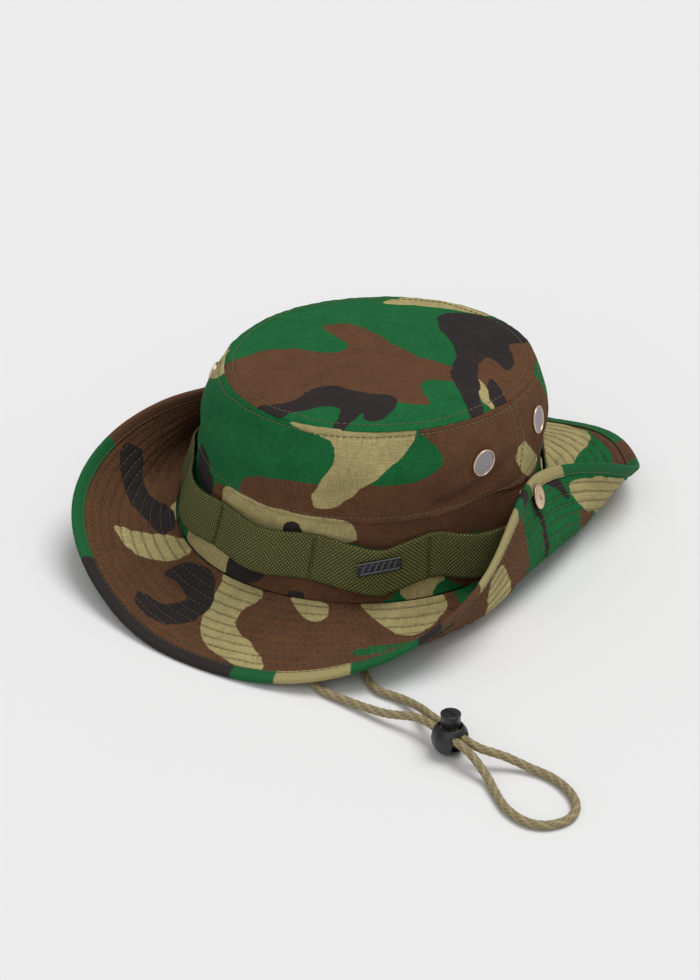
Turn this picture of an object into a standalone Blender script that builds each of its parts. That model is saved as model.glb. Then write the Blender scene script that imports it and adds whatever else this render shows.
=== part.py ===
"""A boonie hat with its brim snapped up at both sides, and a chin cord with a cord lock.

The frame: z = 0 is the table the hat rests on, -Y is its front and +X the wearer's left. An angle round the hat
starts at the front and runs towards +X. The crown is described by ovals at a height share from 0, the seam
with the brim, to 1, the seam with the top panel. The brim is described by its section at each angle: a
strip of fixed width that leaves the seam, bends, and ends at the edge that the stations below give.
"""

import cmath
import math
from functools import lru_cache

import bmesh
import bpy
from mathutils import Matrix, Vector

MM = 0.001
GAP = 0.3 * MM

# The seam between crown and brim: an oval, a little lower on the wearer's left.
HAT_X = 3.3 * MM
SEAM_HEIGHT = 14.3 * MM
SEAM_LONG = 98.9 * MM
SEAM_WIDE = 88.9 * MM
SEAM_FALL_X = -0.0345
SEAM_FALL_Y = -0.0056

# The seam between the crown's wall and its top panel.
TOP_LONG = 81.4 * MM
TOP_WIDE = 72.0 * MM
TOP_X = 10.2 * MM
TOP_Y = -2.7 * MM
TOP_HEIGHT = 82.8 * MM
TOP_FALL_X = -0.0032
TOP_FALL_Y = -0.0405
DOME = 3.0 * MM

# How far the wall stands out of the straight line between the two seams, at shares of its height.
WALL_SHARES = (0.0, 0.25, 0.5, 0.75, 0.9, 1.0)
WALL_SWELL = (0.0, -1.5 * MM, 0.0, 4.2 * MM, 2.4 * MM, 0.0)
WALL_SEAM = 0.4835
FABRIC = 0.6 * MM

# The brim: its cut width, and its edge every 15 degrees from the back round the wearer's right.
BRIM_WIDTH = 55.5 * MM
BRIM_REACH = (
    152, 153, 151, 142, 120, 95, 85, 104, 131, 144.5, 148, 150,
    152, 154, 152, 141, 123, 103.5, 93, 95, 120.5, 142, 152, 154,
)  # fmt: skip
BRIM_RISE = (
    -13.8, -9.5, -2, 7, 26.5, 38, 41, 39.5, 26.5, 12.5, 0.5, -9.5,
    -13.4, -11.2, -3.5, 8.5, 23, 37, 40.5, 37, 27, 7, -1, -8.5,
)  # fmt: skip
BRIM_LOWEST = -13.1 * MM  # where the cloth settles flat on the table
BRIM_SETTLE = 0.6 * MM
BRIM_SLACK = 0.012  # eases the bend out where the brim is all but flat
BEND_PLACE = (0.4, 0.25)  # share of the width where it bends, at the front and back, and at the sides
BEND_SPREAD = (0.8, 0.45)
LAYERS = {"upper": (0.78 * MM, 0.5 * MM), "interlining": (0.0, 0.4 * MM), "lower": (-0.78 * MM, 0.5 * MM)}
BRIM_END = 0.982
BINDING_WIDTH = 6.0 * MM
BINDING_HALF = 1.87 * MM
BINDING_ROOM = 1.42 * MM
BINDING_FOLD = 0.5 * MM

# The two flaps that unsnap and fold down.
FLAP_SHARE = 0.34
FLAP_FROM = 50
FLAP_TO = 130
FLAP_INSET_SHARE = 0.014
FLAP_INSET_ANGLE = 0.3
HINGE_OUT = 100.0 * MM
HINGE_DROP = 9.0 * MM

# The webbing band round the crown, tacked down at even steps and slack between the tacks.
WEBBING_TACKS = 10
WEBBING_FIRST_TACK = -17
WEBBING_HEIGHT = 23.0 * MM
WEBBING_MIDDLE = 21.5 * MM
WEBBING_SIDE_DROP = 8.0 * MM
WEBBING_THICK = 1.3 * MM
WEBBING_OFF = 1.5 * MM
WEBBING_SLACK = 3.4 * MM

# Snaps, vents and badge.
SNAP_FROM_EDGE = 8.0 * MM
SNAP_PULL = (6.6 * MM, 5.3 * MM)  # how far the wall is drawn out to the snap, wearer's right and left
SNAP_PULL_SPREAD = 15.0 * MM
SNAP_PULL_HEIGHT = 25.0 * MM
SNAP_HOLE = 2.2 * MM
VENTS = {"front": (72.5, 0.74), "back": (103.5, 0.785)}
VENT_HOLE = 6.0 * MM
BADGE_ANGLE = 39
BADGE_PIN_SPACING = 13.0 * MM
BADGE_TILT = math.radians(12)

# The chin cord and its lock, which lies on the table.
CORD = 4.0 * MM
CORD_POINTS = 78
LOCK_CENTRE = Vector((0.1426, -0.1441, 0.0083))
LOCK_RADIUS = 8.2 * MM
LOCK_TURN = math.radians(-18.8)
CORD_HEIGHT_IN_LOCK = 10.0 * MM
STRANDS_APART = 4.3 * MM
PLUNGER_RADIUS = 5.1 * MM
PLUNGER_HEAD = 4.5 * MM
PLUNGER_TOP = 20.6 * MM
PLUNGER_BOTTOM = 6.4 * MM
BUTTON_TRAVEL = 2.5 * MM
SPRING_TURNS = 3
CORD_ROUTE = (
    (-78.1, 0, 16.5), (-77.6, -0.5, 11), (-73.5, -4, 5), (-66, -12, 2.4), (-49.1, -31.1, 2.2),
    (-28.2, -54.2, 2.2), (-3.3, -71.4, 2.2), (23.6, -80.5, 2.2), (42.5, -95.6, 2.2), (51.5, -113.6, 2.2),
    (57.5, -127.6, 2.2), (68.5, -136.6, 2.2), (85.5, -138.6, 2.6), (105.5, -140, 4.5), (122.5, -139.6, 8.2),
    (134.1, -143.4, 10), (141.9, -146.1, 10), (149.7, -148.8, 10), (155, -150.6, 9.6), (161.1, -152.2, 7),
    (168.6, -155.4, 3.4), (176.6, -161.8, 2.2), (186.1, -168.8, 2.2), (197.1, -172, 2.2),
    (205.9, -169, 2.2), (211, -160.4, 2.2), (209.4, -150.9, 2.2), (201.8, -143, 2.2), (190.6, -138.2, 2.2),
    (179.1, -138, 2.9), (168.6, -141.2, 6.4), (159.2, -146, 9.6), (151.1, -144.7, 10), (143.2, -142, 10),
    (135.5, -139.4, 10), (126.5, -135, 8.6), (117, -128.2, 5.2), (105, -123.6, 2.8), (90.5, -122.6, 2.2),
    (78.5, -113.6, 2.2), (69.6, -96.5, 2.2), (68.7, -73.4, 2.2), (75.8, -46.2, 2.2), (79.4, -21.1, 2.4),
    (82, -4.5, 4.6), (84.9, -0.5, 9.5), (85.4, 0, 14),
)  # fmt: skip

COLOURS = {
    "camo_cloth": ((0.13, 0.17, 0.07), 0.9, 0.0),
    "binding_tape": ((0.05, 0.13, 0.05), 0.9, 0.0),
    "webbing_olive": ((0.09, 0.11, 0.03), 0.85, 0.0),
    "interlining": ((0.55, 0.53, 0.45), 0.9, 0.0),
    "vent_metal": ((0.68, 0.6, 0.5), 0.35, 1.0),
    "snap_metal": ((0.7, 0.52, 0.33), 0.3, 1.0),
    "badge_metal": ((0.12, 0.12, 0.13), 0.35, 1.0),
    "cord_olive": ((0.26, 0.2, 0.09), 0.85, 0.0),
    "lock_plastic": ((0.02, 0.02, 0.022), 0.4, 0.0),
    "spring_steel": ((0.6, 0.6, 0.62), 0.3, 1.0),
}


def clear_scene():
    for obj in list(bpy.data.objects):
        bpy.data.objects.remove(obj, do_unlink=True)


def new_collection(name):
    made = bpy.data.collections.new(name)
    bpy.context.scene.collection.children.link(made)
    return made


def new_material(name):
    colour, roughness, metallic = COLOURS[name]
    made = bpy.data.materials.new(name)
    made.use_nodes = True
    shader = made.node_tree.nodes["Principled BSDF"]
    shader.inputs["Base Color"].default_value = (*colour, 1.0)
    shader.inputs["Roughness"].default_value = roughness
    shader.inputs["Metallic"].default_value = metallic
    return made


clear_scene()
HAT = new_collection("boonie_hat")
CUTTERS = new_collection("cutters")
MATERIALS = {name: new_material(name) for name in COLOURS}


def add_object(name, data, material, parent=None, place=None):
    """One named sub-part in the hat's collection, placed in the world and held by its parent empty."""
    obj = bpy.data.objects.new(name, data)
    HAT.objects.link(obj)
    data.materials.append(MATERIALS[material])
    if place is not None:
        obj.matrix_world = place
    if parent is not None:
        obj.parent = parent
        obj.matrix_parent_inverse = parent.matrix_world.inverted()
    return obj


def add_empty(name, place, parent=None):
    made = bpy.data.objects.new(name, None)
    HAT.objects.link(made)
    made.location = place
    bpy.context.view_layer.update()
    if parent is not None:
        made.parent = parent
        made.matrix_parent_inverse = parent.matrix_world.inverted()
    bpy.context.view_layer.update()
    return made


def cutter(name, data, place):
    obj = bpy.data.objects.new(name, data)
    CUTTERS.objects.link(obj)
    obj.matrix_world = place
    obj.hide_render = True
    obj.display_type = "WIRE"
    return obj


def cut(obj, tool):
    boolean = obj.modifiers.new(tool.name, "BOOLEAN")
    boolean.operation = "DIFFERENCE"
    boolean.object = tool


def frame_at(origin, up, across=Vector((0, 0, 1))):
    """A matrix with its Z axis along up and its X axis as near across as can be."""
    z = up.normalized()
    y = z.cross(across).normalized()
    x = y.cross(z)
    return Matrix.Translation(origin) @ Matrix((x, y, z)).transposed().to_4x4()


def smooth_step(x):
    x = min(max(x, 0.0), 1.0)
    return x * x * (3 - 2 * x)


def through(places, values, x):
    """A smooth curve through a few (place, value) pairs: cubic pieces with shared slopes."""
    slopes = [0.0] * len(places)
    for i in range(len(places)):
        a, b = max(i - 1, 0), min(i + 1, len(places) - 1)
        slopes[i] = (values[b] - values[a]) / (places[b] - places[a])
    i = max(j for j in range(len(places) - 1) if j == 0 or places[j] <= x)
    step = places[i + 1] - places[i]
    t = (x - places[i]) / step
    return (
        values[i] * (1 + 2 * t) * (1 - t) ** 2
        + values[i + 1] * t * t * (3 - 2 * t)
        + step * t * (1 - t) * (slopes[i] * (1 - t) - slopes[i + 1] * t)
    )


def round_the_hat(values, angle):
    """The smooth closed curve through values spaced evenly round the hat, the first of them at the back."""
    total = 0.0
    for i, value in enumerate(values):
        x = angle + math.pi - i * math.tau / len(values)
        half = math.sin(x / 2)
        share = 1.0 if abs(half) < 1e-9 else math.sin(len(values) * x / 2) / len(values) / math.tan(x / 2)
        total += value * share
    return total


def snap_pull(angle, height):
    """How far a snap draws the wall out, near it."""
    side = 1 if math.sin(angle) > 0 else 0
    along = SEAM_WIDE * math.cos(angle)
    away = (along**2 + (height - SNAP_PULL_HEIGHT) ** 2) / SNAP_PULL_SPREAD**2
    return SNAP_PULL[side] * math.exp(-away)


def wall_point(angle, share, out=0.0):
    """A point on the crown's wall, out from its outer surface."""
    low = Vector((SEAM_WIDE * math.sin(angle), -SEAM_LONG * math.cos(angle), 0))
    low.z = SEAM_FALL_X * low.x + SEAM_FALL_Y * low.y
    ring = Vector((TOP_WIDE * math.sin(angle), -TOP_LONG * math.cos(angle), 0))
    high = Vector((TOP_X + ring.x, TOP_Y + ring.y, TOP_HEIGHT + TOP_FALL_X * ring.x + TOP_FALL_Y * ring.y))
    point = low.lerp(high, share)
    swell = through(WALL_SHARES, WALL_SWELL, share) + snap_pull(angle, point.z) + out
    point += swell * Vector((math.sin(angle), -math.cos(angle), 0))
    return point + Vector((HAT_X, 0, SEAM_HEIGHT))


def wall_frame(angle, share, out=0.0):
    """The place on the wall with its outward normal as Z and the way up the wall as X."""
    step = 0.004
    here = wall_point(angle, share, out)
    up = wall_point(angle, share + step, out) - wall_point(angle, share - step, out)
    round_it = wall_point(angle + step, share, out) - wall_point(angle - step, share, out)
    return frame_at(here, round_it.cross(up), up)


def degrees_from(start, stop, steps):
    return [math.radians(start + (stop - start) * i / steps) for i in range(steps + 1)]


def sheet(name, rows, thickness, material, parent=None, closed=False, keep=None):
    """A sheet through rows of points, thickened to both sides. keep says which cells are cloth."""
    mesh = bpy.data.meshes.new(name)
    work = bmesh.new()
    grid = [[work.verts.new(point) for point in row] for row in rows]
    count = len(grid)
    for i in range(count if closed else count - 1):
        for j in range(len(grid[0]) - 1):
            if keep is None or keep(i, j):
                following = grid[(i + 1) % count]
                work.faces.new((grid[i][j], following[j], following[j + 1]))
                work.faces.new((grid[i][j], following[j + 1], grid[i][j + 1]))
    loose = [v for v in work.verts if not v.link_faces]
    bmesh.ops.delete(work, geom=loose, context="VERTS")
    work.to_mesh(mesh)
    work.free()
    obj = add_object(name, mesh, material, parent)
    solidify = obj.modifiers.new("thickness", "SOLIDIFY")
    solidify.thickness = thickness
    solidify.offset = 0
    solidify.use_even_offset = True
    return obj


def turned(name, outline, steps, material, place, parent=None, closed=True, phase=True):
    """A turned shape: its outline in (radius, height) runs down the outer side, then back up the inner one."""
    mesh = bpy.data.meshes.new(name)
    count = len(outline)
    edges = [(i, (i + 1) % count) for i in range(count if closed else count - 1)]
    mesh.from_pydata([(r, 0, z) for r, z in outline], edges, [])
    obj = add_object(name, mesh, material, parent, place) if phase else cutter(name, mesh, place)
    screw = obj.modifiers.new("turn", "SCREW")
    screw.axis = "Z"
    screw.steps = screw.render_steps = steps
    screw.use_merge_vertices = True
    screw.merge_threshold = 0.00001
    return obj


def cylinder_cutter(name, radius, length, place, sides=16):
    mesh = bpy.data.meshes.new(name)
    work = bmesh.new()
    bmesh.ops.create_cone(
        work, cap_ends=True, segments=sides, radius1=radius, radius2=radius, depth=length
    )
    work.to_mesh(mesh)
    work.free()
    return cutter(name, mesh, place)


def box_data(name, size, middle=(0, 0, 0)):
    mesh = bpy.data.meshes.new(name)
    work = bmesh.new()
    bmesh.ops.create_cube(work, size=1)
    bmesh.ops.scale(work, vec=size, verts=work.verts)
    bmesh.ops.translate(work, vec=middle, verts=work.verts)
    work.to_mesh(mesh)
    work.free()
    return mesh


def wall_sheet(name, start, stop, low, high, out, thickness, columns, rows, material="camo_cloth"):
    shares = [low + (high - low) * j / rows for j in range(rows + 1)]
    closed = stop - start >= 360
    angles = degrees_from(start, stop, columns)
    if closed:
        angles.pop()
    grid = [[wall_point(a, s, out) for s in shares] for a in angles]
    return sheet(name, grid, thickness, material, ROOT, closed)


def build_crown():
    """The wall in two bands of two panels each, the top panel, the sweatband and the two inner seam tapes."""
    side_gap = 0.12
    panels = {}
    for name, start in (("front", -90), ("back", 90)):
        start, stop = start + side_gap, start + 180 - side_gap
        low, high = WALL_SEAM + 0.0025, 0.995
        panels[name] = wall_sheet(f"crown_{name}_panel", start, stop, low, high, -FABRIC / 2, FABRIC, 30, 6)
        low, high = 0.02, WALL_SEAM - 0.0025
        panels[name + "_band"] = wall_sheet(
            f"crown_{name}_lower_band", start, stop, low, high, -FABRIC / 2, FABRIC, 30, 4
        )
    rings = [0.15, 0.4, 0.65, 0.85, 1.0]
    grid = []
    centre = Vector((HAT_X + TOP_X, TOP_Y, SEAM_HEIGHT + TOP_HEIGHT))
    for angle in degrees_from(-180, 172, 44):
        rim = wall_point(angle, 1.0)
        row = []
        for r in rings:
            point = centre.lerp(rim, r)
            point.z += DOME * (1 - r * r) + FABRIC / 2 + GAP * 1.5
            row.append(point)
        grid.append(row[::-1])
    top = sheet("crown_top_panel", grid, FABRIC, "camo_cloth", ROOT, True)
    fill_centre(top, len(rings))
    low, high = 0.02, (0.02 + WALL_SEAM - 0.0025) / 2
    wall_sheet("sweatband", -180, 180, low, high, -1.8 * MM, 1.0 * MM, 60, 2, "webbing_olive")
    wall_sheet("crown_seam_tape", -180, 180, 0.478, 0.55, -1.5 * MM, 0.4 * MM, 60, 1, "webbing_olive")
    wall_sheet("top_seam_tape", -180, 180, 0.92, 0.985, -1.5 * MM, 0.4 * MM, 60, 1, "webbing_olive")
    return panels


def fill_centre(obj, rings):
    """Closes the small hole in the middle of the top panel with a fan."""
    work = bmesh.new()
    work.from_mesh(obj.data)
    rim = sorted((e for e in work.edges if e.is_boundary), key=lambda e: e.calc_length())
    inner = rim[: len(rim) // 2]
    made = bmesh.ops.contextual_create(work, geom=inner)["faces"]
    bmesh.ops.poke(work, faces=made)
    bmesh.ops.recalc_face_normals(work, faces=work.faces)
    work.to_mesh(obj.data)
    work.free()


@lru_cache(maxsize=None)
def brim_section(angle):
    """The brim's section at an angle: points (out, up) and headings, evenly spaced along its width.

    The strip leaves the seam at one heading and turns to another over part of its width. How much it turns
    follows from its width and the distance that it spans, and its heading from where the edge is.
    """
    steps = 48
    reach = 1 / math.hypot(math.sin(angle) / SEAM_WIDE, math.cos(angle) / SEAM_LONG)
    rise = SEAM_FALL_X * reach * math.sin(angle) - SEAM_FALL_Y * reach * math.cos(angle)
    seam = complex(reach, rise)
    edge = complex(round_the_hat(BRIM_REACH, angle), round_the_hat(BRIM_RISE, angle)) * MM
    above = edge.imag - BRIM_LOWEST
    edge += 1j * (math.hypot(above, BRIM_SETTLE) - above) / 2
    side = math.sin(angle) ** 4
    place = BEND_PLACE[0] + (BEND_PLACE[1] - BEND_PLACE[0]) * side
    spread = BEND_SPREAD[0] + (BEND_SPREAD[1] - BEND_SPREAD[0]) * side
    turned_by = [smooth_step((i / steps - place + spread / 2) / spread) for i in range(steps + 1)]

    def strip(turn):
        points = [0j]
        for a, b in zip(turned_by, turned_by[1:]):
            points.append(points[-1] + cmath.exp(1j * turn * (a + b) / 2) * BRIM_WIDTH / steps)
        return points

    slack = 1 - abs(edge - seam) / BRIM_WIDTH
    span = BRIM_WIDTH * (1 - (slack + math.hypot(slack, BRIM_SLACK)) / 2)
    least, most = 0.0, math.radians(220)
    for _ in range(36):
        turn = (least + most) / 2
        if abs(strip(turn)[-1]) > span:
            least = turn
        else:
            most = turn
    points = strip(turn)
    swing = (edge - seam) / points[-1]
    heading = cmath.phase(swing)
    return [(seam + p * swing, heading + turn * t) for p, t in zip(points, turned_by)]


def brim_point(angle, share, off=0.0):
    """A point on the brim at a share of its width from the seam, off its middle towards the upper side."""
    section = brim_section(angle)
    place = min(max(share, 0.0), 1.0) * (len(section) - 1)
    i = min(int(place), len(section) - 2)
    t = place - i
    flat = section[i][0] * (1 - t) + section[i + 1][0] * t
    heading = section[i][1] * (1 - t) + section[i + 1][1] * t
    flat += off * cmath.exp(1j * (heading + math.pi / 2))
    return Vector(
        (HAT_X + flat.real * math.sin(angle), -flat.real * math.cos(angle), SEAM_HEIGHT + flat.imag)
    )


def flap_angles(side):
    """The angles of a flap's columns, on the wearer's right (-1) or left (1)."""
    inner = [FLAP_FROM + (FLAP_TO - FLAP_FROM) * i / 12 for i in range(13)]
    inner[0] += FLAP_INSET_ANGLE
    inner[-1] -= FLAP_INSET_ANGLE
    return sorted(math.radians(side * a) for a in inner)


def build_brim():
    """Three layers of cloth, each in one fixed piece and a flap at each side."""
    around = [math.radians(a) for a in range(-180, 180, 10)]
    shares = [0.0, 0.08, 0.16, 0.25, FLAP_SHARE, 0.42, 0.5, 0.61, 0.75, 0.885, BRIM_END]
    made = {}

    def fixed(i, j):
        middle = abs(math.degrees(around[i]) + 5)
        return shares[j] < FLAP_SHARE or not FLAP_FROM < middle < FLAP_TO

    for layer, (off, thickness) in LAYERS.items():
        material = "interlining" if layer == "interlining" else "camo_cloth"
        grid = [[brim_point(a, s, off) for s in shares] for a in around]
        made[layer] = sheet(f"brim_{layer}", grid, thickness, material, ROOT, True, fixed)
        flap_shares = [FLAP_SHARE + FLAP_INSET_SHARE] + shares[5:]
        for side, name in SIDES.items():
            grid = [[brim_point(a, s, off) for s in flap_shares] for a in flap_angles(side)]
            made[layer, side] = sheet(f"{name}_flap_{layer}", grid, thickness, material, HINGES[side])
    return made


def binding_piece(name, angles, parent):
    """Tape folded round the brim's edge: a U section swept along it."""
    outer, room, fold, width = BINDING_HALF, BINDING_ROOM, BINDING_FOLD, BINDING_WIDTH
    section = [
        (0, -outer), (0, outer), (width, outer), (width, room), (fold, room),
        (fold, -room), (width, -room), (width, -outer),
    ]  # fmt: skip
    mesh = bpy.data.meshes.new(name)
    work = bmesh.new()
    loops = [
        [work.verts.new(brim_point(a, 1 - back / BRIM_WIDTH, off)) for back, off in section] for a in angles
    ]
    for one, following in zip(loops, loops[1:]):
        for k in range(len(section)):
            n = (k + 1) % len(section)
            if section[k][0] >= section[n][0]:
                work.faces.new((one[k], one[n], following[n]))
                work.faces.new((one[k], following[n], following[k]))
            else:
                work.faces.new((one[k], one[n], following[k]))
                work.faces.new((one[n], following[n], following[k]))
    work.faces.new(loops[0][::-1])
    work.faces.new(loops[-1])
    bmesh.ops.recalc_face_normals(work, faces=work.faces)
    work.to_mesh(mesh)
    work.free()
    return add_object(name, mesh, "binding_tape", parent)


def build_binding():
    """The edge tape in four runs: front and back, and one on each flap."""
    near, far = FLAP_FROM, FLAP_TO
    made = [binding_piece("binding_front", degrees_from(-near, near, 10), ROOT)]
    made.append(binding_piece("binding_back", degrees_from(far, 360 - far, 10), ROOT))
    for side, name in SIDES.items():
        binding_piece(f"{name}_flap_binding", flap_angles(side), HINGES[side])
    return made


def level_underside(pieces):
    """Trims what would press into the table, which leaves small flat faces to stand on."""
    data = box_data("table_cutter", (0.5, 0.5, 0.02), (0, 0, -0.01))
    table = cutter("table_cutter", data, Matrix.Identity(4))
    for piece in pieces:
        cut(piece, table)


def webbing_middle(angle):
    return WEBBING_MIDDLE - WEBBING_SIDE_DROP * (1 - abs(math.cos(angle))) ** 2


def webbing_off(angle):
    """How far the band stands off the wall: close at a tack and slack between two."""
    phase = (angle - math.radians(WEBBING_FIRST_TACK)) * WEBBING_TACKS / 2
    return WEBBING_OFF + WEBBING_SLACK * math.sin(phase) ** 2


def build_webbing():
    rows = []
    for angle in degrees_from(-179.6, 179.6, 80):
        middle, off = webbing_middle(angle), webbing_off(angle)
        shares = [(middle + k * WEBBING_HEIGHT / 2) / TOP_HEIGHT for k in (-1, 1)]
        rows.append([wall_point(angle, s, off) for s in shares])
    return sheet("webbing_band", rows, WEBBING_THICK, "webbing_olive", ROOT)


def build_vents(panels):
    """Four vents: an eyelet through the wall, a screen inside it and a washer behind."""
    eyelet = [(6.3, 1.0), (6.75, 0.6), (6.75, 0.3), (5.7, 0.3), (5.7, -3.1), (5.2, -3.1), (5.2, 1.0)]
    washer = [(7.6, -2.2), (7.6, -2.7), (6.0, -2.7), (6.0, -2.2)]
    screen = [(0, 0.4), (4.9, 0.4), (4.9, 0.0), (0, 0.0)]
    for side, side_name in SIDES.items():
        for panel, (angle, share) in VENTS.items():
            name = f"{side_name}_{panel}_vent"
            place = wall_frame(math.radians(side * angle), share)
            cut(panels[panel], cylinder_cutter(f"{name}_hole", VENT_HOLE, 8 * MM, place, 20))
            for part, outline, closed in (
                ("eyelet", eyelet, True),
                ("washer", washer, True),
                ("screen", screen, False),
            ):
                scaled = [(r * MM, z * MM) for r, z in outline]
                turned(f"{name}_{part}", scaled, 14, "vent_metal", place, ROOT, closed)


def snap_frame(side):
    """The snap's own place, square to the flap at its middle, and how far below it the wall is."""
    angle = side * math.pi / 2
    share = 1 - SNAP_FROM_EDGE / BRIM_WIDTH
    origin = brim_point(angle, share)
    along = brim_point(angle + 0.03, share) - brim_point(angle - 0.03, share)
    across = brim_point(angle, share + 0.03) - brim_point(angle, share - 0.03)
    axis = along.cross(across).normalized()
    spot = origin
    for _ in range(5):
        wall = wall_frame(angle, (spot.z - SEAM_HEIGHT) / TOP_HEIGHT)
        normal = wall.to_3x3().col[2]
        reach = (wall.translation - origin).dot(normal) / axis.dot(normal)
        spot = origin + axis * reach
    return frame_at(origin, axis), reach


def build_snaps(panels, brim):
    """Each snap: a cap and a socket on the flap, and a stud and its back post on the crown."""
    cap = [(0, 4.1), (4.6, 4.1), (6.0, 3.7), (6.0, 3.25), (1.5, 3.25), (1.5, -2.4), (0, -2.4)]
    socket = [(5.0, -2.8), (5.0, -4.3), (2.9, -4.3), (2.9, -3.2), (1.9, -3.2), (1.9, -2.8)]
    stud = [(0, -3.5), (1.9, -3.5), (2.2, -3.8), (1.7, -4.2), (1.7, -4.6), (4.6, -4.6), (4.6, -5.2), (1.4, -5.2)]
    for side, name in SIDES.items():
        place, wall = snap_frame(side)
        for layer in LAYERS:
            cut(brim[layer, side], cylinder_cutter(f"{name}_{layer}_snap_hole", SNAP_HOLE, 0.02, place))
        below = wall / MM
        shank = [(1.4, below - 2.7), (0, below - 2.7)]
        post = [(0, below - 3.0), (4.0, below - 3.0), (4.0, below - 3.7), (0, below - 3.7)]
        hole = place @ Matrix.Translation((0, 0, wall))
        cut(panels[f"{'front'}_band"], cylinder_cutter(f"{name}_front_stud_hole", SNAP_HOLE, 0.008, hole))
        cut(panels[f"{'back'}_band"], cylinder_cutter(f"{name}_back_stud_hole", SNAP_HOLE, 0.008, hole))
        for part, outline, closed, parent in (
            ("cap", cap, False, HINGES[side]),
            ("socket", socket, True, HINGES[side]),
            ("stud", stud + shank, False, ROOT),
            ("post", post, False, ROOT),
        ):
            scaled = [(r * MM, z * MM) for r, z in outline]
            turned(f"{name}_snap_{part}", scaled, 14, "snap_metal", place, parent, closed)


def build_badge(webbing):
    """A plain bar badge with two pins through the webbing, each held by a push nut behind it."""
    angle = math.radians(BADGE_ANGLE)
    share = webbing_middle(angle) / TOP_HEIGHT
    off = webbing_off(angle) + WEBBING_THICK / 2
    place = wall_frame(angle, share, off) @ Matrix.Rotation(BADGE_TILT, 4, "Z")
    plate = box_data("badge_plate", (6.5 * MM, 21 * MM, 1.3 * MM), (0, 0, 1.65 * MM))
    badge = add_object("pin_badge", plate, "badge_metal", ROOT, place)
    bevel = badge.modifiers.new("soft_edges", "BEVEL")
    bevel.width = 0.4 * MM
    bevel.segments = 1
    for i, along in enumerate((-BADGE_PIN_SPACING / 2, BADGE_PIN_SPACING / 2)):
        spot = place @ Matrix.Translation((0, along, 0))
        mesh = bpy.data.meshes.new("badge_pin")
        work = bmesh.new()
        bmesh.ops.create_cone(
            work, cap_ends=True, segments=8, radius1=0.5 * MM, radius2=0.5 * MM, depth=5.2 * MM
        )
        bmesh.ops.translate(work, vec=(0, 0, -1.1 * MM), verts=work.verts)
        work.to_mesh(mesh)
        work.free()
        pin = cutter(f"badge_pin_{i + 1}", mesh, spot)
        join = badge.modifiers.new(f"pin_{i + 1}", "BOOLEAN")
        join.operation = "UNION"
        join.object = pin
        cut(webbing, cylinder_cutter(f"badge_hole_{i + 1}", 0.85 * MM, 6 * MM, spot, 8))
        nut = [(2.4, -2.6), (2.4, -3.3), (0.8, -3.3), (0.8, -2.6)]
        scaled = [(r * MM, z * MM) for r, z in nut]
        turned(f"badge_push_nut_{i + 1}", scaled, 12, "badge_metal", spot, ROOT)


def smooth_route(points, count):
    """Evenly spaced points on a smooth curve through the route's own points."""
    fine = []
    last = len(points) - 1
    for i in range(last):
        before, a, b, after = points[max(i - 1, 0)], points[i], points[i + 1], points[min(i + 2, last)]
        for k in range(12):
            t = k / 12
            pull = (b - before) * (t * (1 - t) ** 2) - (after - a) * (t * t * (1 - t))
            fine.append(a * (1 + 2 * t) * (1 - t) ** 2 + b * t * t * (3 - 2 * t) + pull / 2)
    fine.append(points[-1])
    along = [0.0]
    for a, b in zip(fine, fine[1:]):
        along.append(along[-1] + (b - a).length)
    even = []
    i = 0
    for k in range(count):
        target = along[-1] * k / (count - 1)
        while i < len(fine) - 2 and along[i + 1] < target:
            i += 1
        t = (target - along[i]) / (along[i + 1] - along[i])
        even.append(fine[i].lerp(fine[i + 1], t))
    return even


def tube(name, points, diameter, material, parent, resolution=2, place=None):
    curve = bpy.data.curves.new(name, "CURVE")
    curve.dimensions = "3D"
    curve.bevel_depth = diameter / 2
    curve.bevel_resolution = resolution
    curve.use_fill_caps = True
    spline = curve.splines.new("POLY")
    spline.points.add(len(points) - 1)
    for target, point in zip(spline.points, points):
        target.co = (*point, 1)
    return add_object(name, curve, material, parent, place)


def build_cord():
    """The chin cord in one length, and the two tabs inside the crown that hold its ends."""
    route = [Vector(p) * MM for p in CORD_ROUTE]
    tube("chin_cord", smooth_route(route, CORD_POINTS), CORD, "cord_olive", ROOT)
    for side, name, end in ((-1, "right", route[0]), (1, "left", route[-1])):
        size = (2.4 * MM, 12 * MM, 9 * MM)
        middle = end + Vector((0, 0, size[2] / 2 + 3 * GAP))
        place = Matrix.Translation(middle)
        add_object(f"{name}_cord_tab", box_data(f"{name}_tab", size), "webbing_olive", ROOT, place)


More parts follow.
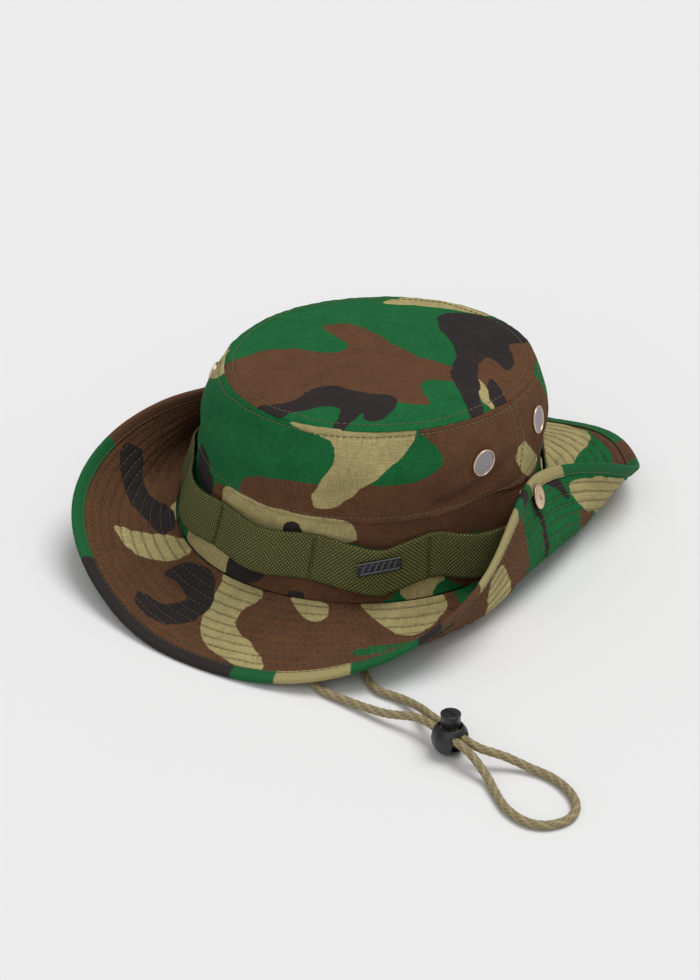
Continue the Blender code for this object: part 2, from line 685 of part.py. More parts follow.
def build_lock():
    """A ball lock: both strands pass through a slot in the ball and in the sprung plunger inside it."""
    place = Matrix.Translation(LOCK_CENTRE) @ Matrix.Rotation(LOCK_TURN, 4, "Z")
    radius, bore = LOCK_RADIUS, PLUNGER_RADIUS + 0.25 * MM
    mouth = math.acos(bore / radius)
    floor = -6.6 * MM
    arc = [mouth + (-math.pi / 2 - mouth) * i / 9 for i in range(10)]
    outline = [(radius * math.cos(a), radius * math.sin(a)) for a in arc]
    outline[-1] = (0, -radius)
    outline += [(0, floor), (bore, floor)]
    barrel = turned("lock_barrel", outline, 20, "lock_plastic", place, LOCK_EMPTY)
    level = CORD_HEIGHT_IN_LOCK - LOCK_CENTRE.z
    room = CORD / 2 + GAP
    slot_width = STRANDS_APART + CORD + 2 * GAP
    low, high = level - room - BUTTON_TRAVEL, level + room
    data = box_data("barrel_slot", (0.03, slot_width, high - low), (0, 0, (low + high) / 2))
    cut(barrel, cutter("barrel_slot", data, place))
    top, bottom = PLUNGER_TOP - LOCK_CENTRE.z, PLUNGER_BOTTOM - LOCK_CENTRE.z
    rim = 0.5 * MM
    radius = PLUNGER_RADIUS
    head = PLUNGER_HEAD
    shoulder = 5.6 * MM
    outline = [(0, top), (head - rim, top), (head, top - rim), (head, shoulder + rim), (radius, shoulder)]
    outline += [(radius, bottom), (0, bottom)]
    plunger = turned("lock_plunger", outline, 16, "lock_plastic", place, BUTTON_EMPTY, False)
    low, high = level - room, level + room + BUTTON_TRAVEL
    data = box_data("plunger_slot", (0.03, slot_width, high - low), (0, 0, (low + high) / 2))
    cut(plunger, cutter("plunger_slot", data, place))
    coil = []
    wire = 0.5 * MM
    lowest, highest = floor + wire, bottom - wire
    for i in range(SPRING_TURNS * 10 + 1):
        turn = i / 10 * math.tau
        coil.append((3 * MM * math.cos(turn), 3 * MM * math.sin(turn), lowest + (highest - lowest) * i / 30))
    tube("lock_spring", coil, wire, "spring_steel", LOCK_EMPTY, 1, place)


SIDES = {-1: "right", 1: "left"}
ROOT = add_empty("hat_origin", (0, 0, 0))
HINGES = {
    side: add_empty(f"{name}_brim_hinge", (HAT_X + side * HINGE_OUT, 0, SEAM_HEIGHT - HINGE_DROP), ROOT)
    for side, name in SIDES.items()
}
LOCK_EMPTY = add_empty("lock_slide", LOCK_CENTRE, ROOT)
BUTTON_EMPTY = add_empty("button_slide", LOCK_CENTRE, LOCK_EMPTY)

crown_panels = build_crown()
brim_pieces = build_brim()
binding_pieces = build_binding()
level_underside([*binding_pieces, brim_pieces["lower"]])
band = build_webbing()
build_vents(crown_panels)
build_snaps(crown_panels, brim_pieces)
build_badge(band)
build_cord()
build_lock()
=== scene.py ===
"""Looks of the boonie hat: dense cloth, stitching, webbing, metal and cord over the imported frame.

Angles go round the hat from the front (-Y) towards +X, the wearer's left. Lengths inside the tables are in
millimetres. The crown's cloth is placed by a share of its height, the brim's by a share of its width.
"""

import math

import bmesh
import bpy
import numpy as np
from mathutils import Matrix, Vector


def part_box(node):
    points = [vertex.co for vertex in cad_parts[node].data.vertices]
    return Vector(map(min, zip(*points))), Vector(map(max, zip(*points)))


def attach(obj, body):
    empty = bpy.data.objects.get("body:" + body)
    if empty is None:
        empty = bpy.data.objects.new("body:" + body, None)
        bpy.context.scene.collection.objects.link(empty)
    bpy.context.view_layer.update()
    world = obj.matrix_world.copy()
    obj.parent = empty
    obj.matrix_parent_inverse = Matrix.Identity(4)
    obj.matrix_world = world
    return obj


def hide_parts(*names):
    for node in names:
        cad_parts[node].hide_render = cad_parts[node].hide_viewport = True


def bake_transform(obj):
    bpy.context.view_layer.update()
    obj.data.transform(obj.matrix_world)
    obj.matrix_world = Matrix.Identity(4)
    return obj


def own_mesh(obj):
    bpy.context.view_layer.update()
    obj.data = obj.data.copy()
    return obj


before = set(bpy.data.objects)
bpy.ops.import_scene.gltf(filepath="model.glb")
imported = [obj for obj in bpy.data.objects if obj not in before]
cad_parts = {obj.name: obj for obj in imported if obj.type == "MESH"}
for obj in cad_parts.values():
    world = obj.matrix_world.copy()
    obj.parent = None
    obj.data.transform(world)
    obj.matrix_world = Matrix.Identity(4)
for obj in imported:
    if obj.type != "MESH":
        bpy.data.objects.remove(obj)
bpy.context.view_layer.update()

MM = 0.001

# The hat's shape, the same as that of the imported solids.
HAT_X, SEAM_HEIGHT = 3.3 * MM, 14.3 * MM
SEAM_LONG, SEAM_WIDE, SEAM_FALL_X, SEAM_FALL_Y = 98.9 * MM, 88.9 * MM, -0.0345, -0.0056
TOP_LONG, TOP_WIDE, TOP_X, TOP_Y = 81.4 * MM, 72.0 * MM, 10.2 * MM, -2.7 * MM
TOP_HEIGHT, TOP_FALL_X, TOP_FALL_Y, DOME = 82.8 * MM, -0.0032, -0.0405, 3.0 * MM
WALL_SHARES = np.array((0.0, 0.25, 0.5, 0.75, 0.9, 1.0))
WALL_SWELL = np.array((0.0, -1.5, 0.0, 4.2, 2.4, 0.0)) * MM
WALL_SEAM = 0.4835
BRIM_WIDTH = 55.5 * MM
BRIM_REACH = (
    152, 153, 151, 142, 120, 95, 85, 104, 131, 144.5, 148, 150,
    152, 154, 152, 141, 123, 103.5, 93, 95, 120.5, 142, 152, 154,
)  # fmt: skip
BRIM_RISE = (
    -13.8, -9.5, -2, 7, 26.5, 38, 41, 39.5, 26.5, 12.5, 0.5, -9.5,
    -13.4, -11.2, -3.5, 8.5, 23, 37, 40.5, 37, 27, 7, -1, -8.5,
)  # fmt: skip
BRIM_LOWEST, BRIM_SETTLE, BRIM_SLACK = -13.1 * MM, 0.6 * MM, 0.012
BEND_PLACE, BEND_SPREAD = (0.4, 0.25), (0.8, 0.45)
SNAP_PULL, SNAP_PULL_SPREAD, SNAP_PULL_HEIGHT = (6.6 * MM, 5.3 * MM), 15 * MM, 25 * MM
SNAP_FROM_EDGE = 8 * MM
BRIM_STEPS = 96
SIDES = {-1: "right", 1: "left"}

# The cloth laid flat, in millimetres: how tall the wall is, and the radii that turn an angle into a length.
WALL_TALL, WALL_ROUND, BRIM_ROUND = 83.0, 90.0, 95.0
TOP_RADIUS, TAPE_ROUND, ROW_ROUND = 77, 150, 125

# How far inside the top panel's rim its row of stitches runs, in millimetres.
TOP_ROW = 4.5

# How many columns of points go round the wall and the top panel, and round a lining.
AROUND_WALL, AROUND_LINING = 600, 480

# Camouflage, painted in this order over green: brown, tan, black, green. A shape is a coarse outline of
# (angle, share) places on the wall and brim, or of (x, y) on the top panel, and inside() rounds its
# corners. Where the cloth isn't seen the pattern goes on in strokes of a round brush, each a run of (angle,
# share, radius).
TOP_SHAPES = {
    "brown": [
        [
            (-55, -45), (-45, -20), (-20, -15), (-15, 0), (-42, 8), (-38, 16), (-25, 22), (0, 12), (20, 8),
            (42, 10), (46, -5), (32, -10), (35, -22), (50, -30), (40, -38), (10, -45), (0, -60), (-10, -82),
            (-36, -86), (-58, -65),
        ],
        [(35, 62), (60, 55), (85, 20), (85, -15), (62, -12), (45, 0), (38, 30)],
    ],
    "tan": [
        [(50, 8), (62, -2), (75, -12), (68, -16), (50, 2)],
        [(-35, 54), (-35, 65), (-25, 80), (-8, 90), (15, 85), (16, 76), (0, 72), (-20, 64)],
    ],
    "black": [
        [
            (-20, -82), (-6, -70), (-4, -42), (18, -42), (32, -35), (38, -46), (38, -60), (32, -64),
            (27, -55),
            (30, -75), (24, -78), (18, -60), (10, -60), (0, -80), (-8, -88),
        ],
        [
            (-6, 60), (8, 42), (25, 30), (38, 0), (55, -15), (68, -30), (75, -26), (60, -8), (42, 20),
            (40, 34),
            (58, 22), (54, 36), (40, 52), (48, 60), (42, 72), (22, 77), (6, 74),
        ],
        [(54, 14), (70, 0), (78, -10), (72, -15), (56, 4)],
    ],
    "green": [],
}  # fmt: skip
WALL_SHAPES = {
    "brown": [
        [
            (-12, 0.46), (-12, 0.6), (0, 0.68), (30, 0.72), (50, 0.7), (58, 0.8), (56, 0.9), (50, 0.95),
            (50, 1.05), (115, 1.05), (118, 0.8), (112, 0.3), (30, 0.3), (30, 0.46),
        ],
        [(-26, 0.3), (-26, 0.475), (-17, 0.475), (-15, 0.3)],
        [(-9, -0.03), (-9, 0.3), (47, 0.3), (47, -0.03)],
        [(62, -0.03), (60, 0.3), (112, 0.3), (112, -0.03)],
    ],
    "tan": [
        [
            (0, 1.05), (4, 0.97), (20, 0.96), (22, 0.82), (15, 0.62), (17, 0.53), (24, 0.55), (35, 0.74),
            (48, 0.92), (50, 1.05),
        ],
        [(90, 0.75), (88, 0.65), (96, 0.45), (112, 0.4), (105, 0.55), (94, 0.74)],
        [(-42, 1.02), (-48, 0.93), (-58, 0.86), (-66, 0.8), (-75, 0.85), (-66, 1.05)],
        # This tan patch reaches up onto the upper wall's lip at the seam, share 0.497; that thin top strip is
        # a painted highlight along the seam's edge.
        [(-20, 0.33), (-21, 0.46), (-17, 0.497), (6, 0.492), (27, 0.497), (31, 0.46), (33, 0.33)],
        [(-34, -0.03), (-34, 0.25), (-10, 0.25), (-7, -0.03)],
        [(47, -0.03), (47, 0.2), (58, 0.2), (62, 0.02)],
    ],
    "black": [
        [(-46, 0.36), (-44, 0.55), (-38, 0.58), (-30, 0.5), (-26, 0.42), (-26, 0.33)],
        [(7, 0.33), (8, 0.41), (11, 0.44), (14, 0.43), (16, 0.33)],
        [(-10, -0.03), (-9, 0.2), (6, 0.2), (4, 0.06), (-3, -0.03)],
        [(12, -0.03), (13, 0.05), (19, 0.05), (18, -0.03)],
    ],
    "green": [[(57, 0.0), (58, 0.07), (62, 0.07), (63, 0.0)]],
}  # fmt: skip
UPPER_SHAPES = {
    "brown": [[(a, -0.1) for a in range(-112, 66, 6)] + [(a, 1.1) for a in range(62, -113, -6)]],
    "tan": [
        [(-45, 0.64), (-42, 0.35), (-32, 0.0), (-22, 0.0), (-26, 0.2), (-35, 0.5)],
        [(-53, -0.05), (-50, 0.07), (-44, 0.08), (-40, -0.05)],
        [
            (-10, -0.05), (4, -0.05), (7, 0.1), (2, 0.25), (4, 0.45), (12, 0.65), (16, 0.9), (8, 0.88),
            (0, 0.72), (-5, 0.5), (-6, 0.2),
        ],
        [(12, -0.02), (25, 0.02), (24, 0.2), (22, 0.27), (19, 0.24), (16, 0.12)],
        [(30, -0.05), (56, -0.05), (58, 0.14), (50, 0.3), (44, 0.42), (36, 0.2)],
    ],
    "black": [
        [(-64, 0.9), (-69, 0.65), (-60, 0.3), (-48, 0.02), (-37, 0.0), (-37, 0.2), (-48, 0.3), (-58, 0.6)],
        [
            (-26, 0.34), (-23, 0.12), (-12, 0.02), (-6, 0.2), (-5, 0.5), (-10, 0.78), (-20, 0.78),
            (-23, 0.62),
            (-15, 0.55), (-12, 0.35), (-18, 0.3),
        ],
    ],
    "green": [[(31, 0.64), (36, 0.57), (44, 0.52), (46, 0.66), (40, 0.74), (36, 0.8), (31, 0.76)]],
}  # fmt: skip
LOWER_SHAPES = {
    "brown": [
        [(46, -0.1), (46, 1.1), (60, 1.1), (79, 1.1), (81, 0.5), (78, -0.1), (62, -0.1)],
        [(109, 0.54), (115, 0.58), (118, 0.42), (110, 0.34)],
    ],
    "tan": [
        [(63, 0.86), (68, 0.82), (71, 0.58), (74, 0.3), (70, 0.12), (65, 0.25), (63, 0.6)],
        [(109, 0.86), (107, 0.74), (111, 0.56), (118, 0.5), (134, 0.56), (143, 0.7), (138, 0.84), (122, 0.9)],
    ],
    "black": [],
    "green": [],
}  # fmt: skip
UPPER_STROKES = {
    "brown": [
        [(118, 0.95, 9), (132, 0.8, 9), (146, 0.95, 8), (160, 1.0, 8), (178, 0.92, 8)],
        [(70, 0.3, 11), (84, 0.5, 12), (96, 0.3, 9)],
        [(-176, 0.05, 9), (-166, 0.15, 12), (-156, 0.12, 9)],
        [(-168, 0.75, 9), (-158, 0.85, 13), (-146, 0.6, 12), (-138, 0.3, 10), (-126, 0.15, 9)],
        [(124, 0.1, 8), (136, 0.25, 11), (141, 0.45, 9)],
    ],
    "tan": [
        [(150, 0.2, 12), (160, 0.5, 18), (172, 0.7, 14)],
        [(-172, 0.55, 5), (-164, 0.45, 9), (-156, 0.42, 5)],
        [(-132, 0.4, 10), (-122, 0.6, 12), (-118, 0.5, 8)],
    ],
    "black": [
        [(-173, 0.3, 5), (-165, 0.28, 8), (-152, 0.35, 9), (-149, 0.55, 5)],
        [(-136, 0.75, 6), (-130, 0.6, 8), (-133, 0.4, 5)],
        [(176, 0.2, 7), (-178, 0.35, 9), (-175, 0.6, 7), (-179, 0.78, 6)],
        [(100, 0.2, 8), (112, 0.5, 9), (124, 0.4, 7)],
    ],
    "green": [],
}
LOWER_STROKES = {
    "brown": [
        [(10, 0.4, 15), (24, 0.7, 14), (32, 0.3, 10)],
        [(-30, 0.5, 15), (-48, 0.6, 16), (-62, 0.3, 14)],
        [(-120, 0.6, 16), (-140, 0.4, 15), (-160, 0.6, 14)],
        [(150, 0.5, 13), (166, 0.7, 14)],
    ],
    "tan": [
        [(-10, 0.5, 10), (-16, 0.7, 13)],
        [(-82, 0.3, 9), (-90, 0.6, 12), (-100, 0.7, 9)],
        [(146, 0.2, 9), (154, 0.1, 8)],
        [(-172, 0.3, 11), (-165, 0.1, 8)],
    ],
    "black": [
        [(88, 0.9, 2.5), (91, 0.6, 3), (90, 0.35, 2)],
        [(100, 0.95, 4), (104, 0.85, 4), (106, 0.7, 2)],
        [(44, 0.9, 5), (50, 0.8, 5)],
        [(-2, 0.2, 7), (4, 0.6, 9), (-2, 0.85, 6)],
        [(-70, 0.8, 6), (-76, 0.5, 8), (-70, 0.2, 7)],
        [(140, 0.9, 5), (150, 0.8, 7)],
        [(-150, 0.9, 6), (-146, 0.7, 8), (-132, 0.8, 6)],
    ],
    "green": [],
}
# The edge tape's colour at angles round the hat; each run lasts until the next one begins.
TAPE_RUNS = (
    (-180, "green"), (-150, "brown"), (-132, "green"), (-90, "brown"), (-62, "green"),
    (-32, "black"), (10, "green"), (18, "tan"), (31, "green"), (43, "black"), (48, "brown"), (58, "tan"),
    (77, "green"), (81, "black"), (85, "green"), (88, "tan"), (107, "green"), (140, "brown"), (150, "green"),
)  # fmt: skip
# How high the webbing's middle lies above the seam at angles round the hat.
WEBBING_MIDDLE = (
    (-180, 21.5), (-150, 21.3), (-120, 19.5), (-90, 15), (-72, 18.5), (-53, 21.5), (-28, 20), (-17, 21.5),
    (-3, 20.8), (6, 20.8), (19, 21.6), (32, 18.8), (40, 16.8), (45, 18.3), (57, 21.3), (66, 17.5),
    (75, 14.8), (90, 14), (120, 19.5), (150, 21.3), (180, 21.5),
)  # fmt: skip
TACKS, FIRST_TACK = 10, math.radians(-17)

# The cord's route from the right tab to the left one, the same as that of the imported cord.
CORD_ROUTE = (
    (-78.1, 0, 16.5), (-77.6, -0.5, 11), (-73.5, -4, 5), (-66, -12, 2.4), (-49.1, -31.1, 2.2),
    (-28.2, -54.2, 2.2), (-3.3, -71.4, 2.2), (23.6, -80.5, 2.2), (42.5, -95.6, 2.2), (51.5, -113.6, 2.2),
    (57.5, -127.6, 2.2), (68.5, -136.6, 2.2), (85.5, -138.6, 2.6), (105.5, -140, 4.5), (122.5, -139.6, 8.2),
    (134.1, -143.4, 10), (141.9, -146.1, 10), (149.7, -148.8, 10), (155, -150.6, 9.6), (161.1, -152.2, 7),
    (168.6, -155.4, 3.4), (176.6, -161.8, 2.2), (186.1, -168.8, 2.2), (197.1, -172, 2.2),
    (205.9, -169, 2.2), (211, -160.4, 2.2), (209.4, -150.9, 2.2), (201.8, -143, 2.2), (190.6, -138.2, 2.2),
    (179.1, -138, 2.9), (168.6, -141.2, 6.4), (159.2, -146, 9.6), (151.1, -144.7, 10), (143.2, -142, 10),
    (135.5, -139.4, 10), (126.5, -135, 8.6), (117, -128.2, 5.2), (105, -123.6, 2.8), (90.5, -122.6, 2.2),
    (78.5, -113.6, 2.2), (69.6, -96.5, 2.2), (68.7, -73.4, 2.2), (75.8, -46.2, 2.2), (79.4, -21.1, 2.4),
    (82, -4.5, 4.6), (84.9, -0.5, 9.5), (85.4, 0, 14),
)  # fmt: skip
LOCK_CENTRE, LOCK_TURN = Vector((0.1426, -0.1441, 0.0083)), math.radians(-18.8)

# Each vent's angle, to the left or to the right, and its share of the wall's height.
VENTS = {"front": (72.5, 0.74), "back": (103.5, 0.785)}

# Rows of stitches on the brim, by their distance from its seam; the last one sews the edge tape on.
ROW_FIRST, ROW_PITCH, ROWS_END, TAPE_ROW = 3.5, 5.2, 48, 50.4
ROWS = [ROW_FIRST + ROW_PITCH * k for k in range(9)]


# ---------------------------------------------------------------- helpers: noise, curves, the hat's shape


LATTICE = np.random.default_rng(11).random((40, 40, 40)) * 2 - 1


def noise(points, size):
    """Smooth noise from -1 to 1 at points in millimetres, with features of the given size."""
    place = np.asarray(points, float) / np.asarray(size, float) + 200.5
    cell = np.floor(place).astype(int)
    t = place - cell
    t = t * t * (3 - 2 * t)
    total = 0
    for corner in np.ndindex(2, 2, 2):
        corner = np.array(corner)
        share = np.prod(np.where(corner == 1, t, 1 - t), axis=-1)
        i = (cell + corner) % 40
        total = total + share * LATTICE[i[..., 0], i[..., 1], i[..., 2]]
    return total


def ease(x):
    """A step from 0 to 1 with a slow start and a slow end."""
    x = np.clip(x, 0, 1)
    return x * x * (3 - 2 * x)


def through(places, values, x):
    """A smooth curve through a few pairs: cubic pieces with shared slopes."""
    places, values, x = np.asarray(places, float), np.asarray(values, float), np.asarray(x, float)
    count = len(places)
    slopes = np.array(
        [
            (values[min(i + 1, count - 1)] - values[max(i - 1, 0)])
            / (places[min(i + 1, count - 1)] - places[max(i - 1, 0)])
            for i in range(count)
        ]
    )
    i = np.clip(np.searchsorted(places, x, side="right") - 1, 0, count - 2)
    h = places[i + 1] - places[i]
    t = (x - places[i]) / h
    return (
        values[i] * (1 + 2 * t) * (1 - t) ** 2
        + values[i + 1] * t * t * (3 - 2 * t)
        + h * t * (1 - t) * (slopes[i] * (1 - t) - slopes[i + 1] * t)
    )


def round_the_hat(values, angle):
    """The smooth periodic curve through values at even angles from the back, as a sum of waves."""
    total = np.zeros_like(angle)
    count = len(values)
    for i, value in enumerate(values):
        x = angle + math.pi - i * math.tau / count
        half = np.sin(x / 2)
        flat = np.abs(half) < 1e-9
        safe = np.where(flat, 1.0, np.tan(x / 2))
        total += value * np.where(flat, 1.0, np.sin(count * x / 2) / count / safe)
    return total


def wall(angle, share, out=0.0):
    """Points on the crown's wall, out from its outer surface."""
    angle, share, out = np.broadcast_arrays(np.asarray(angle, float), np.asarray(share, float), out)
    lx, ly = SEAM_WIDE * np.sin(angle), -SEAM_LONG * np.cos(angle)
    rx, ry = TOP_WIDE * np.sin(angle), -TOP_LONG * np.cos(angle)
    lz = SEAM_FALL_X * lx + SEAM_FALL_Y * ly
    x = lx + (TOP_X + rx - lx) * share
    y = ly + (TOP_Y + ry - ly) * share
    z = lz + (TOP_HEIGHT + TOP_FALL_X * rx + TOP_FALL_Y * ry - lz) * share
    away = ((SEAM_WIDE * np.cos(angle)) ** 2 + (z - SNAP_PULL_HEIGHT) ** 2) / SNAP_PULL_SPREAD**2
    pull = np.where(np.sin(angle) > 0, SNAP_PULL[1], SNAP_PULL[0]) * np.exp(-away)
    swell = through(WALL_SHARES, WALL_SWELL, share) + pull + out
    return np.stack([x + swell * np.sin(angle) + HAT_X, y - swell * np.cos(angle), z + SEAM_HEIGHT], -1)


def sections(angle):
    """The brim's section at each angle: points (out, up) as complex numbers, and headings."""
    reach = 1 / np.hypot(np.sin(angle) / SEAM_WIDE, np.cos(angle) / SEAM_LONG)
    rise = SEAM_FALL_X * reach * np.sin(angle) - SEAM_FALL_Y * reach * np.cos(angle)
    seam = reach + 1j * rise
    edge = (round_the_hat(BRIM_REACH, angle) + 1j * round_the_hat(BRIM_RISE, angle)) * MM
    above = edge.imag - BRIM_LOWEST
    edge = edge + 1j * (np.hypot(above, BRIM_SETTLE) - above) / 2
    side = np.sin(angle) ** 4
    place = BEND_PLACE[0] + (BEND_PLACE[1] - BEND_PLACE[0]) * side
    spread = BEND_SPREAD[0] + (BEND_SPREAD[1] - BEND_SPREAD[0]) * side
    t = np.linspace(0, 1, BRIM_STEPS + 1)[None]
    bent = ease((t - place[:, None] + spread[:, None] / 2) / spread[:, None])
    middle = (bent[:, 1:] + bent[:, :-1]) / 2
    slack = 1 - np.abs(edge - seam) / BRIM_WIDTH
    span = BRIM_WIDTH * (1 - (slack + np.hypot(slack, BRIM_SLACK)) / 2)
    least, most = np.zeros(len(angle)), np.full(len(angle), math.radians(220))
    for _ in range(40):
        turn = (least + most) / 2
        end = np.exp(1j * turn[:, None] * middle).sum(1) * BRIM_WIDTH / BRIM_STEPS
        far = np.abs(end) > span
        least, most = np.where(far, turn, least), np.where(far, most, turn)
    steps = np.cumsum(np.exp(1j * turn[:, None] * middle), 1) * BRIM_WIDTH / BRIM_STEPS
    strip = np.concatenate([np.zeros((len(angle), 1)), steps], 1)
    swing = (edge - seam) / strip[:, -1]
    return seam[:, None] + strip * swing[:, None], np.angle(swing)[:, None] + turn[:, None] * bent


def brim(angle, share, off=0.0):
    """Points on the brim for angles (n) and shares of its width (m) or (n, m), off its middle, upwards."""
    angle = np.atleast_1d(np.asarray(angle, float))
    flat, heading = sections(angle)
    share = np.asarray(share, float)
    share = np.broadcast_to(share, (len(angle), share.shape[-1]))
    place = np.clip(share, 0, 1) * BRIM_STEPS
    i = np.minimum(place.astype(int), BRIM_STEPS - 1)
    t = place - i
    row = np.arange(len(angle))[:, None]
    point = flat[row, i] * (1 - t) + flat[row, i + 1] * t
    head = heading[row, i] * (1 - t) + heading[row, i + 1] * t
    beyond = np.maximum(share - 1, 0) * BRIM_WIDTH
    point = point + beyond * np.exp(1j * head) + off * np.exp(1j * (head + math.pi / 2))
    sine, cosine = np.sin(angle)[:, None], np.cos(angle)[:, None]
    return np.stack([HAT_X + point.real * sine, -point.real * cosine, SEAM_HEIGHT + point.imag], -1)


def there_and_back(one, other=None):
    """Rows that run along one face of a sheet and back along its other face, or along the same values."""
    return np.concatenate([one, (one if other is None else other)[:, ::-1]], 1)


def outwards(angle, rise=0.0):
    """Level directions out of the hat, with a little rise."""
    return np.stack([np.sin(angle), -np.cos(angle), 0 * angle + rise], -1)


# ---------------------------------------------------------------- helpers: the camouflage


COLOURS = ("brown", "tan", "black", "green")


def inside(flat, outline):
    """How far inside an outline each point lies; negative outside it."""
    outline = np.array(outline, float)
    for _ in range(2):
        following = np.roll(outline, -1, axis=0)
        outline = np.stack([outline * 0.77 + following * 0.23, outline * 0.23 + following * 0.77], 1)
        outline = outline.reshape(-1, 2)
    gap = np.full(flat.shape[:-1], 1e9)
    within = np.zeros(flat.shape[:-1], bool)
    for a, b in zip(outline, np.roll(outline, -1, axis=0)):
        leg = b - a
        t = np.clip(((flat - a) @ leg) / max(leg @ leg, 1e-9), 0, 1)
        gap = np.minimum(gap, np.linalg.norm(flat - a - t[..., None] * leg, axis=-1))
        crosses = (a[1] > flat[..., 1]) != (b[1] > flat[..., 1])
        rise = leg[1] if abs(leg[1]) > 1e-12 else 1e-12
        within ^= crosses & (flat[..., 0] < a[0] + (flat[..., 1] - a[1]) * leg[0] / rise)
    return np.where(within, gap, -gap)


def camo(flat, shapes, strokes):
    """Four fields over flat cloth in millimetres: how far inside its colour's nearest shape a point lies."""
    spot = np.concatenate([flat, np.zeros_like(flat[..., :1])], -1)
    shift = np.stack([noise(spot + 31, 7) + 0.5 * noise(spot + 7, 3), noise(spot + 77, 7)], -1)
    flat = flat + shift
    fields = np.full((*flat.shape[:-1], 4), -20.0)
    for k, colour in enumerate(COLOURS):
        for outline in shapes[colour]:
            fields[..., k] = np.maximum(fields[..., k], inside(flat, outline))
        for run in strokes.get(colour, []):
            for (ax, ay, ar), (bx, by, br) in zip(run, run[1:]):
                a, leg = np.array((ax, ay)), np.array((bx - ax, by - ay))
                t = np.clip(((flat - a) @ leg) / max(leg @ leg, 1e-9), 0, 1)
                gap = np.linalg.norm(flat - a - t[..., None] * leg, axis=-1)
                fields[..., k] = np.maximum(fields[..., k], ar + (br - ar) * t - gap)
    return 0.5 + np.clip(fields, -20, 20) / 40


def on_wall(table):
    """The table's places in flat millimetres of the wall."""
    return {
        colour: [[(math.radians(p[0]) * WALL_ROUND, p[1] * WALL_TALL, *p[2:]) for p in run] for run in runs]
        for colour, runs in table.items()
    }


def on_brim(table):
    """The table's places in flat millimetres of the brim, which is laid out as a ring."""
    made = {}
    for colour, runs in table.items():
        made[colour] = []
        for run in runs:
            radii = [(BRIM_ROUND + p[1] * BRIM_WIDTH / MM, math.radians(p[0]), p[2:]) for p in run]
            made[colour].append([(q * math.sin(a), -q * math.cos(a), *r) for q, a, r in radii])
    return made


def scatter(seed, low, high, count, size, legs, clear):
    """Random brush runs in a box of the flat cloth, kept only where clear says so."""
    rng = np.random.default_rng(seed)
    runs = []
    for _ in range(count):
        x, y = rng.uniform(low, high)
        heading = rng.normal(0, 0.6) + (math.pi if rng.random() < 0.5 else 0)
        run = []
        for _ in range(legs):
            run.append((x, y, size * rng.uniform(0.65, 1.25)))
            heading += rng.normal(0, 0.8)
            x += math.cos(heading) * size * 1.9
            y += math.sin(heading) * size * 1.2
        if all(clear(px, py) for px, py, _ in run):
            runs.append(run)
    return runs


# ---------------------------------------------------------------- helpers: meshes


def mesh_object(name, points, faces, material, uv=None, fields=None, smooth=True):
    """An object from points and faces, with its flat place and its colour fields at each point."""
    mesh = bpy.data.meshes.new(name)
    mesh.from_pydata(np.asarray(points, float).reshape(-1, 3).tolist(), [], [list(f) for f in faces])
    if smooth:
        mesh.polygons.foreach_set("use_smooth", [True] * len(mesh.polygons))
    if uv is not None:
        layer = mesh.uv_layers.new(name="UVMap")
        corner = np.zeros(len(mesh.loops), int)
        mesh.loops.foreach_get("vertex_index", corner)
        layer.data.foreach_set("uv", np.asarray(uv, np.float32).reshape(-1, 2)[corner].ravel())
    if fields is not None:
        attribute = mesh.attributes.new("camo", "FLOAT_COLOR", "POINT")
        attribute.data.foreach_set("color", np.asarray(fields, np.float32).reshape(-1))
    mesh.materials.append(material)
    mesh.validate()
    mesh.update()
    obj = bpy.data.objects.new(name, mesh)
    bpy.context.scene.collection.objects.link(obj)
    return obj


def grid_faces(rows, columns, round_rows, round_columns):
    """Four-sided faces of a grid that may close on itself either way."""
    i = np.arange(rows if round_rows else rows - 1)[:, None]
    j = np.arange(columns if round_columns else columns - 1)[None]
    a, b = i * columns + j, (i + 1) % rows * columns + j
    c, d = (i + 1) % rows * columns + (j + 1) % columns, i * columns + (j + 1) % columns
    return np.stack([a, b, c, d], -1).reshape(-1, 4).tolist()


def skin(name, points, material, uv=None, fields=None, round_rows=False, round_columns=False):
    """An object from a grid of points that may close on itself either way."""
    rows, columns = points.shape[:2]
    faces = grid_faces(rows, columns, round_rows, round_columns)
    return mesh_object(name, points, faces, material, uv, fields)


def capsules(name, starts, ends, normals, width, material, lift=0.14, sides=5):
    """Little threads, each lying from a start to an end and bulging a little along its normal."""
    starts, ends, normals = (np.asarray(v, float).reshape(-1, 3) for v in (starts, ends, normals))
    along = ends - starts
    length = np.linalg.norm(along, axis=1, keepdims=True)
    good = length[:, 0] > 1e-6
    starts, along, normals, length = starts[good], along[good], normals[good], length[good]
    along = along / length
    across = np.cross(normals, along)
    across /= np.linalg.norm(across, axis=1, keepdims=True)
    normals = np.cross(along, across)
    shares, widths = np.array((0.0, 0.1, 0.5, 0.9, 1.0)), np.array((0.35, 0.85, 1.0, 0.85, 0.35)) * width / 2
    turn = np.arange(sides) * math.tau / sides
    rings = []
    for share, radius in zip(shares, widths):
        middle = starts + along * length * share + normals * (math.sin(math.pi * share) * lift * MM)
        ring = across[:, None] * np.cos(turn)[None, :, None] + normals[:, None] * np.sin(turn)[None, :, None]
        rings.append(middle[:, None] + ring * radius)
    points = np.stack(rings, 1)
    count = len(points)
    one = [f[::-1] for f in grid_faces(len(shares), sides, False, True)]
    one += [list(range(sides))[::-1], [len(shares) * sides - sides + k for k in range(sides)]]
    step = len(shares) * sides
    faces = [[v + k * step for v in f] for k in range(count) for f in one]
    return mesh_object(name, points, faces, material)


